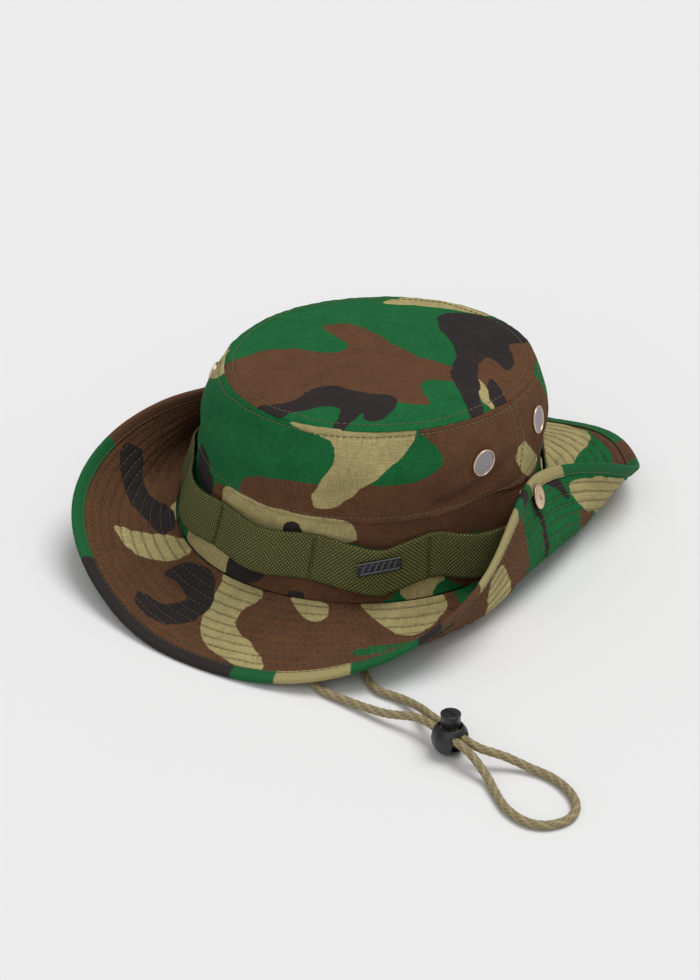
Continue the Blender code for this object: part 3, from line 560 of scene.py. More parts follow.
def lathe(name, outline, steps, material, place, closed=True):
    """A turned piece from its outline in (radius, height) millimetres."""
    outline = np.array(outline, float) * MM
    turn = np.arange(steps) * math.tau / steps
    points = np.stack(
        [
            outline[None, :, 0] * np.cos(turn)[:, None],
            outline[None, :, 0] * np.sin(turn)[:, None],
            np.broadcast_to(outline[None, :, 1], (steps, len(outline))),
        ],
        -1,
    )
    obj = skin(name, points, material, round_rows=True, round_columns=closed)
    obj.data.transform(place)
    obj.data.update()
    return obj


def rounded(points, radius, steps=4):
    """The outline with its corners rounded; a corner's own radius can follow its two coordinates."""
    made = []
    count = len(points)
    for i, point in enumerate(points):
        here = np.array(point[:2], float)
        before, after = np.array(points[i - 1][:2], float), np.array(points[(i + 1) % count][:2], float)
        r = point[2] if len(point) > 2 else radius
        if r <= 0:
            made.append(tuple(here))
            continue
        a = here + (before - here) / np.linalg.norm(before - here) * min(r, np.linalg.norm(before - here) / 2)
        b = here + (after - here) / np.linalg.norm(after - here) * min(r, np.linalg.norm(after - here) / 2)
        for k in range(steps + 1):
            t = k / steps
            made.append(tuple(a * (1 - t) ** 2 + 2 * here * t * (1 - t) + b * t * t))
    return made


def frame_at(origin, up, across=(0, 0, 1)):
    """A place with its Z along up."""
    z = Vector(up).normalized()
    y = z.cross(Vector(across)).normalized()
    return Matrix.Translation(Vector(origin)) @ Matrix((y.cross(z), y, z)).transposed().to_4x4()


def wall_frame(angle, share, out=0.0):
    """A place on the wall with its Z out of the cloth."""
    step = 0.004
    here = wall(angle, share, out)
    rise = wall(angle, share + step, out) - wall(angle, share - step, out)
    along = wall(angle + step, share, out) - wall(angle - step, share, out)
    return frame_at(here, np.cross(along, rise), rise)


def baked(obj, *cutters):
    """The object's mesh with the cutters taken out of it for good."""
    for tool in cutters:
        cut = obj.modifiers.new("cut", "BOOLEAN")
        cut.operation, cut.object, cut.solver = "DIFFERENCE", tool, "EXACT"
    bpy.context.view_layer.update()
    mesh = bpy.data.meshes.new_from_object(obj.evaluated_get(bpy.context.evaluated_depsgraph_get()))
    obj.modifiers.clear()
    obj.data = mesh
    for tool in cutters:
        bpy.data.objects.remove(tool, do_unlink=True)
    return obj


# ---------------------------------------------------------------- materials


def add(tree, kind, inputs=None, **settings):
    """A shader node with its settings and its inputs, each a value or another node's output."""
    node = tree.nodes.new("ShaderNode" + kind)
    for key, value in settings.items():
        setattr(node, key, value)
    for key, value in (inputs or {}).items():
        if isinstance(value, bpy.types.NodeSocket):
            tree.links.new(value, node.inputs[key])
        else:
            node.inputs[key].default_value = value
    return node


def calc(tree, operation, a, b=0.0):
    """One step of arithmetic in a material."""
    return add(tree, "Math", {0: a, 1: b}, operation=operation).outputs[0]


def remap(tree, value, low, high, to_low=0.0, to_high=1.0):
    """A number carried from one range to another, and held inside it."""
    settings = {"Value": value, "From Min": low, "From Max": high, "To Min": to_low, "To Max": to_high}
    return add(tree, "MapRange", settings).outputs["Result"]


def mix(tree, share, a, b, how="MIX"):
    """Two colours mixed by a share, or combined in another way."""
    node = add(tree, "Mix", data_type="RGBA", blend_type=how)
    for socket, value in ((node.inputs[0], share), (node.inputs[6], a), (node.inputs[7], b)):
        if isinstance(value, bpy.types.NodeSocket):
            tree.links.new(value, socket)
        else:
            socket.default_value = value if isinstance(value, (int, float)) else (*value, 1)[:4]
    return node.outputs[2]


def shaded(tree, colour, shade):
    """The colour made lighter or darker by a number."""
    grey = add(tree, "CombineColor", {0: shade, 1: shade, 2: shade}).outputs[0]
    return mix(tree, 1.0, colour, grey, "MULTIPLY")


def fields_of(tree):
    """The mesh's four fields, which hold its colours."""
    attribute = add(tree, "Attribute", attribute_name="camo")
    parts = add(tree, "SeparateColor", {0: attribute.outputs["Color"]})
    return [*parts.outputs[:3], attribute.outputs["Alpha"]]


def start_material(name, roughness, metallic=0.0):
    """A new material with its tree of nodes and its shader."""
    material = bpy.data.materials.new(name)
    material.use_nodes = True
    tree = material.node_tree
    shader = tree.nodes["Principled BSDF"]
    shader.inputs["Roughness"].default_value = roughness
    shader.inputs["Metallic"].default_value = metallic
    return material, tree, shader


def finish_material(tree, shader, colour, height=None, depth=0.2, strength=1.0):
    """Gives the shader its colour and, where there is one, a bump."""
    tree.links.new(colour, shader.inputs["Base Color"])
    if height is not None:
        bump = add(tree, "Bump", {"Height": height, "Distance": depth * MM, "Strength": strength})
        tree.links.new(bump.outputs[0], shader.inputs["Normal"])


def cloth_place(tree):
    """The cloth's own coordinates in millimetres, as a vector and its two parts."""
    place = add(tree, "UVMap", uv_map="UVMap").outputs[0]
    parts = add(tree, "SeparateXYZ", {0: place})
    return place, parts.outputs[0], parts.outputs[1]


def weave_height(tree, u, v, pitch):
    """A plain weave as waves along both directions of the cloth."""
    over = calc(tree, "SINE", calc(tree, "MULTIPLY", u, math.tau / pitch))
    under = calc(tree, "SINE", calc(tree, "MULTIPLY", v, math.tau / pitch))
    return calc(tree, "MULTIPLY", over, under)


def ridges(tree, value, pitch, width):
    """1 on fine lines a pitch apart, 0 between them."""
    return remap(tree, calc(tree, "PINGPONG", value, pitch / 2), 0.0, width, 1.0, 0.0)


GREEN, BROWN = (0.011, 0.125, 0.036), (0.12, 0.055, 0.027)
BLACK, TAN = (0.03, 0.024, 0.023), (0.4, 0.335, 0.15)


def camo_material(name, rows=False):
    """Printed cloth, coloured by the fields; on the brim it is also darkened along its rows of stitches, a
    painted shade of the grooves they press in.
    """
    material, tree, shader = start_material(name, 0.92)
    place, u, v = cloth_place(tree)
    wobble = add(tree, "TexNoise", {"Vector": place, "Scale": 0.9, "Detail": 3.0}).outputs["Fac"]
    wobble = calc(tree, "MULTIPLY", calc(tree, "SUBTRACT", wobble, 0.5), 0.03)
    colour = (*GREEN, 1)
    for field, paint in zip(fields_of(tree), (BROWN, TAN, BLACK, GREEN)):
        edge = remap(tree, calc(tree, "ADD", field, wobble), 0.496, 0.504)
        colour = mix(tree, edge, colour, paint)
    blotch = add(tree, "TexNoise", {"Vector": place, "Scale": 0.06, "Detail": 4.0}).outputs["Fac"]
    fleck = add(tree, "TexNoise", {"Vector": place, "Scale": 1.7, "Detail": 2.0}).outputs["Fac"]
    spots = remap(tree, fleck, 0.3, 0.7, -0.2, 0.2)
    shade = calc(tree, "ADD", remap(tree, blotch, 0.3, 0.7, 0.88, 1.1), spots)
    grid = calc(tree, "MAXIMUM", ridges(tree, u, 4.6, 0.35), ridges(tree, v, 4.6, 0.35))
    shade = calc(tree, "ADD", shade, calc(tree, "MULTIPLY", grid, 0.08))
    for stretch in ((0.16, 2.6, 1.0), (2.6, 0.16, 1.0)):
        thread = add(tree, "VectorMath", {0: place, 1: stretch}, operation="MULTIPLY").outputs[0]
        streak = add(tree, "TexNoise", {"Vector": thread, "Scale": 1.0, "Detail": 2.0}).outputs["Fac"]
        shade = calc(tree, "ADD", shade, remap(tree, streak, 0.3, 0.7, -0.2, 0.2))
    if rows:  # painted shade: the cloth is darker along each row of stitches, where it is drawn in
        line = ridges(tree, calc(tree, "SUBTRACT", v, ROW_FIRST - ROW_PITCH), ROW_PITCH, 1.1)
        dark = calc(tree, "SUBTRACT", 1.0, calc(tree, "MULTIPLY", line, 0.34))
        shade = calc(tree, "MULTIPLY", shade, dark)
    colour = shaded(tree, colour, shade)
    height = calc(tree, "ADD", calc(tree, "MULTIPLY", weave_height(tree, u, v, 0.62), 0.3), grid)
    height = calc(tree, "ADD", height, calc(tree, "MULTIPLY", fleck, 0.8))
    finish_material(tree, shader, colour, height, 0.16, 0.7)
    shader.inputs["Specular IOR Level"].default_value = 0.12
    return material


def webbing_material(name, dark, light, pitch, depth=0.35):
    """Coarse woven tape in two close colours."""
    material, tree, shader = start_material(name, 0.8)
    place, u, v = cloth_place(tree)
    weave = weave_height(tree, u, v, pitch)
    dots = remap(tree, weave, 0.1, 0.6)
    fleck = add(tree, "TexNoise", {"Vector": place, "Scale": 1.4, "Detail": 3.0}).outputs["Fac"]
    colour = mix(tree, calc(tree, "MULTIPLY", dots, remap(tree, fleck, 0.3, 0.7, 0.35, 1.0)), dark, light)
    height = calc(tree, "ADD", weave, calc(tree, "MULTIPLY", fleck, 0.4))
    finish_material(tree, shader, colour, height, depth, 0.8)
    shader.inputs["Specular IOR Level"].default_value = 0.3
    return material


def plain_material(name, colour, roughness, metallic=0.0, grain=900.0, depth=0.05, spread=0.12):
    """A finish with fine grain: a little lighter and darker, and a little rough."""
    material, tree, shader = start_material(name, roughness, metallic)
    place = add(tree, "TexCoord").outputs["Object"]
    fleck = add(tree, "TexNoise", {"Vector": place, "Scale": grain, "Detail": 4.0}).outputs["Fac"]
    low, high = [c * (1 - spread) for c in colour], [c * (1 + spread) for c in colour]
    colour = mix(tree, remap(tree, fleck, 0.3, 0.7), low, high)
    finish_material(tree, shader, colour, fleck, depth, 0.5)
    return material


def tape_material():
    """The edge tape: its colour runs are in the camo fields, its ribs run across it."""
    material, tree, shader = start_material("binding_tape", 0.9)
    place, u, v = cloth_place(tree)
    colour = (*GREEN, 1)
    for field, paint in zip(fields_of(tree), (BROWN, TAN, BLACK)):
        colour = mix(tree, remap(tree, field, 0.492, 0.508), colour, paint)
    fleck = add(tree, "TexNoise", {"Vector": place, "Scale": 1.6, "Detail": 3.0}).outputs["Fac"]
    shade = remap(tree, fleck, 0.3, 0.7, 0.78, 1.18)
    height = calc(tree, "ADD", weave_height(tree, u, v, 0.9), fleck)
    finish_material(tree, shader, shaded(tree, colour, shade), height, 0.15, 0.7)
    shader.inputs["Specular IOR Level"].default_value = 0.25
    return material


def cord_material():
    """Braided cord, with painted shade darkening the grooves between its strands."""
    material, tree, shader = start_material("cord_olive", 0.85)
    # The first field picks between the two colours: painted shade, dark in the grooves and light on the
    # strands.
    colour = mix(tree, fields_of(tree)[0], (0.15, 0.118, 0.055), (0.4, 0.325, 0.18))
    place = add(tree, "TexCoord").outputs["Object"]
    fleck = add(tree, "TexNoise", {"Vector": place, "Scale": 1800.0, "Detail": 3.0}).outputs["Fac"]
    finish_material(tree, shader, colour, fleck, 0.12, 0.6)
    return material


def screen_material():
    """Woven wire: light where a wire runs, and dark in the holes between, a painted shade on the solid disc.
    """
    material, tree, shader = start_material("vent_screen", 0.4, 0.6)
    colour = mix(tree, fields_of(tree)[0], (0.03, 0.027, 0.03), (0.42, 0.37, 0.4))
    finish_material(tree, shader, colour)
    return material


CLOTH = camo_material("camo_cloth")
ROW_SHADE_CLOTH = camo_material("camo_cloth_row_shade", True)
TAPE = tape_material()
WEBBING = webbing_material("webbing_olive", (0.052, 0.058, 0.012), (0.38, 0.35, 0.125), 1.8)
LINING = webbing_material("lining_tape", (0.05, 0.06, 0.018), (0.12, 0.13, 0.045), 0.9, 0.2)
INNER = webbing_material("interlining", (0.42, 0.4, 0.33), (0.6, 0.58, 0.5), 1.1, 0.2)
THREAD = plain_material("thread", (0.16, 0.13, 0.062), 0.8, grain=2500.0, depth=0.03)
THREAD_DARK = plain_material("thread_dark", (0.05, 0.06, 0.015), 0.8, grain=2500.0, depth=0.03)
VENT_METAL = plain_material("vent_metal", (0.66, 0.53, 0.4), 0.4, 1.0, grain=600.0, depth=0.02)
SCREEN_METAL = screen_material()
SNAP_METAL = plain_material("snap_metal", (0.7, 0.5, 0.34), 0.34, 1.0, grain=500.0, depth=0.02)
BADGE_METAL = plain_material("badge_metal", (0.1, 0.1, 0.11), 0.33, 1.0, grain=700.0, depth=0.03)
CORD_LOOK = cord_material()
PLASTIC = plain_material("lock_plastic", (0.014, 0.014, 0.016), 0.38, 0.0, grain=1500.0, depth=0.03)
STEEL = plain_material("spring_steel", (0.55, 0.55, 0.58), 0.28, 1.0, grain=700.0, depth=0.01)

# ---------------------------------------------------------------- camera


def set_camera():
    tilt, turn, roll = math.radians(28.955), math.radians(33.164), math.radians(0.655)
    back = Vector((math.sin(turn) * math.cos(tilt), -math.cos(turn) * math.cos(tilt), math.sin(tilt)))
    level = Vector((math.cos(turn), math.sin(turn), 0))
    right = level * math.cos(roll) + back.cross(level) * math.sin(roll)
    data = bpy.data.cameras.new("camera")
    data.lens, data.sensor_width, data.clip_start = 98.07, 36.0, 0.02
    camera = bpy.data.objects.new("camera", data)
    place = Matrix((right, back.cross(right), back)).transposed().to_4x4()
    place.translation = Vector((0.62806 + HAT_X, -0.97356, 0.64783 + SEAM_HEIGHT))
    camera.matrix_world = place
    bpy.context.scene.collection.objects.link(camera)
    bpy.context.scene.camera = camera


set_camera()

# ---------------------------------------------------------------- chin cord


def smooth_route(points, step):
    """Evenly spaced points on a smooth curve through the route's own points."""
    points = np.array(points, float)
    last = len(points) - 1
    fine = []
    for i in range(last):
        before, a, b, after = points[max(i - 1, 0)], points[i], points[i + 1], points[min(i + 2, last)]
        for k in range(16):
            t = k / 16
            pull = (b - before) * (t * (1 - t) ** 2) - (after - a) * (t * t * (1 - t))
            fine.append(a * (1 + 2 * t) * (1 - t) ** 2 + b * t * t * (3 - 2 * t) + pull / 2)
    fine = np.array([*fine, points[-1]])
    along = np.concatenate([[0], np.cumsum(np.linalg.norm(np.diff(fine, axis=0), axis=1))])
    even = np.linspace(0, along[-1], int(along[-1] / step) + 1)
    return np.stack([np.interp(even, along, fine[:, k]) for k in range(3)], -1), along[-1]


def build_cord():
    """A round braid: two sets of three strands that wind either way round the route."""
    step, braid_pitch = 0.6, 7.2
    route, length = smooth_route(CORD_ROUTE, step)
    heading = np.gradient(route, axis=0)
    heading /= np.linalg.norm(heading, axis=1, keepdims=True)
    side = np.cross(heading, (0.0, 0.0, 1.0))
    steep = np.linalg.norm(side, axis=1) < 0.2
    side[steep] = np.cross(heading[steep], (0.0, 1.0, 0.0))
    for _ in range(6):
        side[1:-1] = (side[:-2] + 2 * side[1:-1] + side[2:]) / 4
    side -= heading * (side * heading).sum(1, keepdims=True)
    side /= np.linalg.norm(side, axis=1, keepdims=True)
    up = np.cross(side, heading)
    count = 24
    turn = np.arange(count) * math.tau / count
    along = np.arange(len(route))[:, None] * step
    one = np.cos(3 * turn[None] + along * math.tau / braid_pitch)
    other = np.cos(3 * turn[None] - along * math.tau / braid_pitch)
    braid = np.sqrt(np.abs(one * other))
    radius = 1.72 + 0.28 * braid
    points = route[:, None] + radius[..., None] * (
        side[:, None] * np.cos(turn)[None, :, None] + up[:, None] * np.sin(turn)[None, :, None]
    )
    # The tone is painted shade in the grooves between the strands, where the braid is thinnest; it is also
    # darker where the strands of one set run.
    tone = ease(0.2 + 0.75 * braid - 0.3 * (one > 0.3))
    fields = np.stack([tone, tone, tone, np.ones_like(tone)], -1)
    cord = skin("chin_cord_braid", points[:, ::-1] * MM, CORD_LOOK, None, fields[:, ::-1], round_columns=True)
    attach(cord, "hat")
    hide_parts("chin_cord")


build_cord()

# ---------------------------------------------------------------- crown


def wall_relief(angle, share):
    """How the wall's cloth stands out of its plain shape, in metres: wrinkles, seams and dents."""
    place = wall(angle, share) / MM
    top = (1 - share) * WALL_TALL
    seam = (share - WALL_SEAM) * WALL_TALL
    wide = 0.95 * ease(seam / 14) + 0.24
    relief = wide * (noise(place, (26, 26, 20)) + 0.4 * noise(place + 40, (9, 9, 12)))
    fold = noise(place * (1, 1, 0.25) + 90, (3.6, 3.6, 3.6))
    relief += 0.42 * fold * np.exp(-top / 7) + 0.22 * fold * np.exp(-np.abs(seam) / 5)
    relief -= 0.35 * np.exp(-(((top - 3) / 0.7) ** 2)) + 0.6 * np.exp(-((top / 1.1) ** 2))
    relief += np.where(share > WALL_SEAM, 0.75 * np.exp(-np.abs(seam) / 4), 0)
    relief -= np.where(share > WALL_SEAM, 0.3 * np.exp(-(((seam - 2) / 0.6) ** 2)), 0)
    spot = np.stack([angle * WALL_ROUND, share * WALL_TALL], -1)
    for (ax, ay), (bx, by), deep, reach in (
        ((91, 43), (132, 55), -2.4, 5.0),
        ((96, 50), (118, 61), 1.3, 5.0),
        ((-60, 52), (-30, 60), 0.9, 6.0),
        ((-58, 66), (-22, 74), -1.5, 5.5),
        ((-48, 44), (-10, 52), -1.2, 6.0),
        ((10, 46), (40, 52), -0.8, 5.0),
        ((50, 56), (57, 68), -0.8, 4.0),
    ):
        a, leg = np.array((ax, ay)), np.array((bx - ax, by - ay))
        t = np.clip(((spot - a) @ leg) / (leg @ leg), 0, 1)
        gap = np.linalg.norm(spot - a - t[..., None] * leg, axis=-1)
        relief += deep * np.exp(-((gap / reach) ** 2)) * ease(seam / 5)
    for side in SIDES:
        for turn, at in VENTS.values():
            arc = (angle - math.radians(side * turn)) * WALL_ROUND
            gap = np.hypot(arc * 0.9, (share - at) * WALL_TALL)
            relief = relief * ease((gap - 6.5) / 5)
    for joint in (-math.pi / 2, math.pi / 2):
        arc = (angle - joint) * WALL_ROUND
        step = 0.55 * ease((arc + 0.8) / 1.2) * np.exp(-np.abs(arc) / 3)
        relief += step - 0.3 * np.exp(-((arc / 0.7) ** 2))
    return relief * MM


def wall_strokes():
    """Strokes for the wall's cloth where the outlines leave it plain."""

    def hidden(x, y):
        """True round the back of the wall, outside the outlines."""
        return not -84 < math.degrees(x / WALL_ROUND) < 118

    low, high = (-283, 0), (283, 83)
    return {
        "brown": scatter(3, low, high, 70, 11, 4, hidden),
        "tan": scatter(4, low, high, 34, 9, 3, hidden),
        "black": scatter(5, low, high, 40, 6, 4, hidden),
    }


def build_wall():
    """The upper wall, and the lower band, which reaches up behind it."""
    shapes, strokes = on_wall(WALL_SHAPES), wall_strokes()
    angle = np.linspace(-math.pi, math.pi, AROUND_WALL, endpoint=False)[:, None]
    for name, low, high, rows, nodes in (
        ("crown_upper_wall", WALL_SEAM - 0.006, 0.996, 96, ("crown_front_panel", "crown_back_panel")),
        (
            "crown_lower_wall", 0.005, WALL_SEAM + 0.045, 80,
            ("crown_front_lower_band", "crown_back_lower_band"),
        ),
    ):
        turns, shares = np.broadcast_arrays(angle, np.linspace(low, high, rows)[None])
        if name == "crown_upper_wall":
            # The seam climbs a little on the wearer's left.
            bump = 0.035 * np.exp(-(((np.degrees(turns) - 76) / 9) ** 2)) * ease((0.62 - shares) / 0.14)
            shares = shares + bump
            off = wall_relief(turns, np.maximum(shares, WALL_SEAM + 1e-4))
        else:
            behind = 0.35 + 1.3 * ease((shares - WALL_SEAM + 0.002) / 0.004)
            off = wall_relief(turns, shares) - behind * MM
        points = there_and_back(wall(turns, shares, off), wall(turns, shares, off - 0.6 * MM))
        flat = np.stack([turns * WALL_ROUND, shares * WALL_TALL], -1)
        fields = there_and_back(camo(flat, shapes, strokes))
        obj = with_holes(skin(name, points, CLOTH, there_and_back(flat), fields, True, True))
        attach(obj, "hat")
        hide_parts(*nodes)


def with_holes(obj):
    """Leaves out the cloth's cells that lie inside a vent's hole."""
    mesh = obj.data
    middle = np.zeros(len(mesh.polygons) * 3)
    mesh.polygons.foreach_get("center", middle)
    middle = middle.reshape(-1, 3)
    gone = np.zeros(len(middle), bool)
    for side in SIDES:
        for angle, share in VENTS.values():
            place = np.array(wall_frame(math.radians(side * angle), share).translation)
            gone |= np.linalg.norm(middle - place, axis=1) < 5.4 * MM
    work = bmesh.new()
    work.from_mesh(mesh)
    work.faces.ensure_lookup_table()
    bmesh.ops.delete(work, geom=[work.faces[i] for i in np.flatnonzero(gone)], context="FACES")
    work.to_mesh(mesh)
    work.free()
    return obj


def top_height(angle, place, ring):
    """How high the top panel stands over the plane of its rim, in millimetres."""
    inward = (1 - ring) * TOP_RADIUS
    around = np.stack([np.cos(angle), np.sin(angle), 0 * angle], -1)
    height = DOME / MM * (1 - ring**2) + 0.9 * noise(place, 30) * ease(inward / 16)
    height = height + 0.45 * noise(place + 50, 12) * ease(inward / 5)
    height = height + 0.35 * noise(around * 26 + 5, 1.0) * np.exp(-inward / 5)
    height = height + 0.75 * noise(around * 3.3, 1.0) * np.exp(-inward / 12)
    dents = 0.4 * np.exp(-(((inward - TOP_ROW) / 0.7) ** 2)) + 0.9 * np.exp(-((inward / 1.4) ** 2))
    return height - dents + 0.5


def top_base(angle, ring):
    """Points between the top panel's centre and its rim."""
    centre = np.array((HAT_X + TOP_X, TOP_Y, SEAM_HEIGHT + TOP_HEIGHT))
    return centre + (wall(angle, 1.0) - centre) * ring


def top_row(angle):
    """Points and normals along the row of stitches inside the top panel's rim."""
    ring = 1 - TOP_ROW / TOP_RADIUS
    base = top_base(angle, ring)
    base[..., 2] += (top_height(angle, base / MM, ring) + 0.16) * MM
    return base, np.broadcast_to(np.array((0.0, 0.0, 1.0)), base.shape)


def build_top():
    """The domed top panel, with finer rings near its rim."""
    angle = np.linspace(-math.pi, math.pi, AROUND_WALL, endpoint=False)[:, None]
    ring = (1 - (1 - np.linspace(0.004, 1.0, 76)) ** 1.25)[None]
    base = top_base(angle, ring[..., None])
    place = base / MM
    outer = base.copy()
    outer[..., 2] += top_height(angle, place, ring) * MM
    inner = outer.copy()
    inner[..., 2] -= 0.55 * MM
    flat = np.stack([place[..., 0] - (HAT_X + TOP_X) / MM, place[..., 1] - TOP_Y / MM], -1)
    fields = there_and_back(camo(flat, TOP_SHAPES, {}))
    points = there_and_back(inner, outer)
    obj = skin("crown_top_cloth", points, CLOTH, there_and_back(flat), fields, True, True)
    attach(obj, "hat")
    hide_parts("crown_top_panel")
    row_stitches("crown_top_stitches", top_row, 0.5, 3.0)


def row_stitches(name, place, width, pitch, start=-math.pi, stop=math.pi, body="hat", length=0.72):
    """A closed or open row of stitches round the hat: place gives points and normals at angles."""
    fine = np.linspace(start, stop, 1500)
    points, _ = place(fine)
    along = np.concatenate([[0], np.cumsum(np.linalg.norm(np.diff(points, axis=0), axis=1))]) / MM
    count = max(int(along[-1] / pitch), 1)
    first = np.interp((np.arange(count) + 0.14) * along[-1] / count, along, fine)
    last = np.interp((np.arange(count) + 0.14 + length) * along[-1] / count, along, fine)
    starts, normals = place(first)
    ends, _ = place(last)
    obj = capsules(name, starts, ends, normals, width * MM, THREAD)
    if body:
        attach(obj, body)
    return obj


def wall_row(share, lift):
    """Where a row of stitches lies on the wall."""

    def place(angle):
        shares = np.full_like(angle, share)
        return wall(angle, shares, wall_relief(angle, shares) + lift * MM), outwards(angle, 0.15)

    return place


def build_wall_stitches():
    """Rows of stitches along the wall's seams, and its two upright seams."""
    row_stitches("top_seam_stitches", wall_row(1 - 3 / WALL_TALL, 0.1), 0.5, 3.0)
    row_stitches("mid_seam_stitches", wall_row(WALL_SEAM + 2 / WALL_TALL, 0.1), 0.45, 3.0)
    for side, name in SIDES.items():
        starts, ends, normals = [], [], []
        for shift in (-2.4, 2.4):
            angle = side * math.pi / 2 + shift / WALL_ROUND
            for k in range(13):
                low = WALL_SEAM + 0.012 + k * 0.037
                pair = np.array((low, low + 0.027))
                turns = np.full(2, angle)
                spots = wall(turns, pair, wall_relief(turns, pair) + 0.1 * MM)
                starts.append(spots[0])
                ends.append(spots[1])
                normals.append((math.sin(angle), -math.cos(angle), 0))
        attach(capsules(f"{name}_side_seam_stitches", starts, ends, normals, 0.45 * MM, THREAD), "hat")


build_wall()
build_top()
build_wall_stitches()


def lining(name, low, high, out, thick, node, rows):
    """A band inside the crown, with a little ease in it."""
    angle = np.linspace(-math.pi, math.pi, AROUND_LINING, endpoint=False)[:, None]
    turns, shares = np.broadcast_arrays(angle, np.linspace(low, high, rows)[None])
    place = wall(turns, shares) / MM
    wave = 0.14 * noise(place + 15, 8) * MM
    outer = wall(turns, shares, (out + thick / 2) * MM + wave)
    inner = wall(turns, shares, (out - thick / 2) * MM + wave)
    flat = np.stack([turns * WALL_ROUND, shares * WALL_TALL], -1)
    obj = skin(name, there_and_back(outer, inner), LINING, there_and_back(flat), None, True, True)
    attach(obj, "hat")
    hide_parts(node)
    for k, at in enumerate((low + 0.02, high - 0.015)):

        def on_band(a, at=at):
            return wall(a, np.full_like(a, at), (out - thick / 2 - 0.2) * MM), -outwards(a)

        row_stitches(f"{name}_stitches_{k + 1}", on_band, 0.45, 3.2)


lining("inner_sweatband", 0.02, 0.25, -1.8, 1.0, "sweatband", 24)
lining("inner_seam_tape", 0.478, 0.55, -2.4, 0.4, "crown_seam_tape", 8)
lining("inner_top_tape", 0.92, 0.985, -2.4, 0.4, "top_seam_tape", 8)

# ---------------------------------------------------------------- brim


def brim_relief(angle, share):
    """How each cloth of the brim puffs out between the rows of stitches, in metres."""
    away = share * BRIM_WIDTH / MM
    phase = (away - ROW_FIRST) / ROW_PITCH
    sewn = (away > ROW_FIRST) & (away < ROWS_END)
    puff = np.sqrt(np.abs(np.sin(math.pi * phase)) + 0.02) * np.where(sewn, 1, 0.6)
    radius = BRIM_ROUND + away
    round_it = np.stack([radius * np.sin(angle), -radius * np.cos(angle), 0 * radius], -1)
    direction = outwards(angle) * 120
    cross = noise(np.concatenate([direction[..., :2], (np.floor(phase)[..., None]) * 9], -1), (3.4, 3.4, 4.0))
    slow = noise(round_it, 16)
    return (0.62 * puff + 0.42 * puff * cross + 0.14 * slow - 0.25) * MM


def half_angles(side, count):
    """Rising angles over the left or right half of the brim."""
    turns = np.linspace(0, math.pi, count)
    return turns if side > 0 else -turns[::-1]


def fold(obj, side):
    """Bakes the piece's place into its mesh."""
    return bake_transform(obj)


def build_brim():
    """Two cloths with a stiffening cloth between them, left and right half."""
    patterns = {
        "upper": (on_brim(UPPER_SHAPES), on_brim(UPPER_STROKES)),
        "lower": (on_brim(LOWER_SHAPES), on_brim(LOWER_STROKES)),
    }
    for side, name in SIDES.items():
        angle = half_angles(side, 421)[:, None]
        turns, shares = np.broadcast_arrays(angle, np.linspace(0.003, 0.985, 112)[None])
        radius = BRIM_ROUND + shares * BRIM_WIDTH / MM
        flat = np.stack([radius * np.sin(turns), -radius * np.cos(turns)], -1)
        uv = np.stack([turns * ROW_ROUND, shares * BRIM_WIDTH / MM], -1)
        puff = brim_relief(turns, shares) * ease((0.9 - shares) / 0.06)
        for layer, sign in (("upper", 1), ("lower", -1)):
            flip = slice(None, None, -sign)
            fields = camo(flat, *patterns[layer])
            outer = brim(angle[:, 0], shares, sign * (1.0 * MM + puff - 0.02 * MM))
            inner = brim(angle[:, 0], shares, sign * 0.42 * MM)
            points = there_and_back(outer[:, flip], inner[:, flip])
            maps, fields = there_and_back(uv[:, flip]), there_and_back(fields[:, flip])
            obj = skin(f"{name}_brim_{layer}_cloth", points, ROW_SHADE_CLOTH, maps, fields, False, True)
            fold(obj, side)
            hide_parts(f"{name}_flap_{layer}", f"brim_{layer}")
        turns, shares = np.broadcast_arrays(angle[::2], np.linspace(0.01, 0.98, 40)[None])
        top, bottom = (brim(turns[:, 0], shares, off * MM)[:, ::-1] for off in (0.2, -0.2))
        uv = there_and_back(np.stack([turns * ROW_ROUND, shares * BRIM_WIDTH / MM], -1)[:, ::-1])
        obj = skin(f"{name}_brim_interlining", there_and_back(top, bottom), INNER, uv, None, False, True)
        fold(obj, side)
        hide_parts(f"{name}_flap_interlining", "brim_interlining")


def tape_fields(angle):
    """The tape's colour runs as fields, in step with the cloth's own."""
    degrees = np.degrees(angle)
    fields = np.full((*angle.shape, 4), 0.0)
    starts = [a for a, _ in TAPE_RUNS] + [180]
    for (start, colour), stop in zip(TAPE_RUNS, starts[1:]):
        k = COLOURS.index(colour)
        deep = np.minimum(degrees - start, stop - degrees) * 2.4
        fields[..., k] = np.maximum(fields[..., k], 0.5 + np.clip(deep, -20, 20) / 40)
    fields[..., COLOURS.index("green")] = 0
    return fields


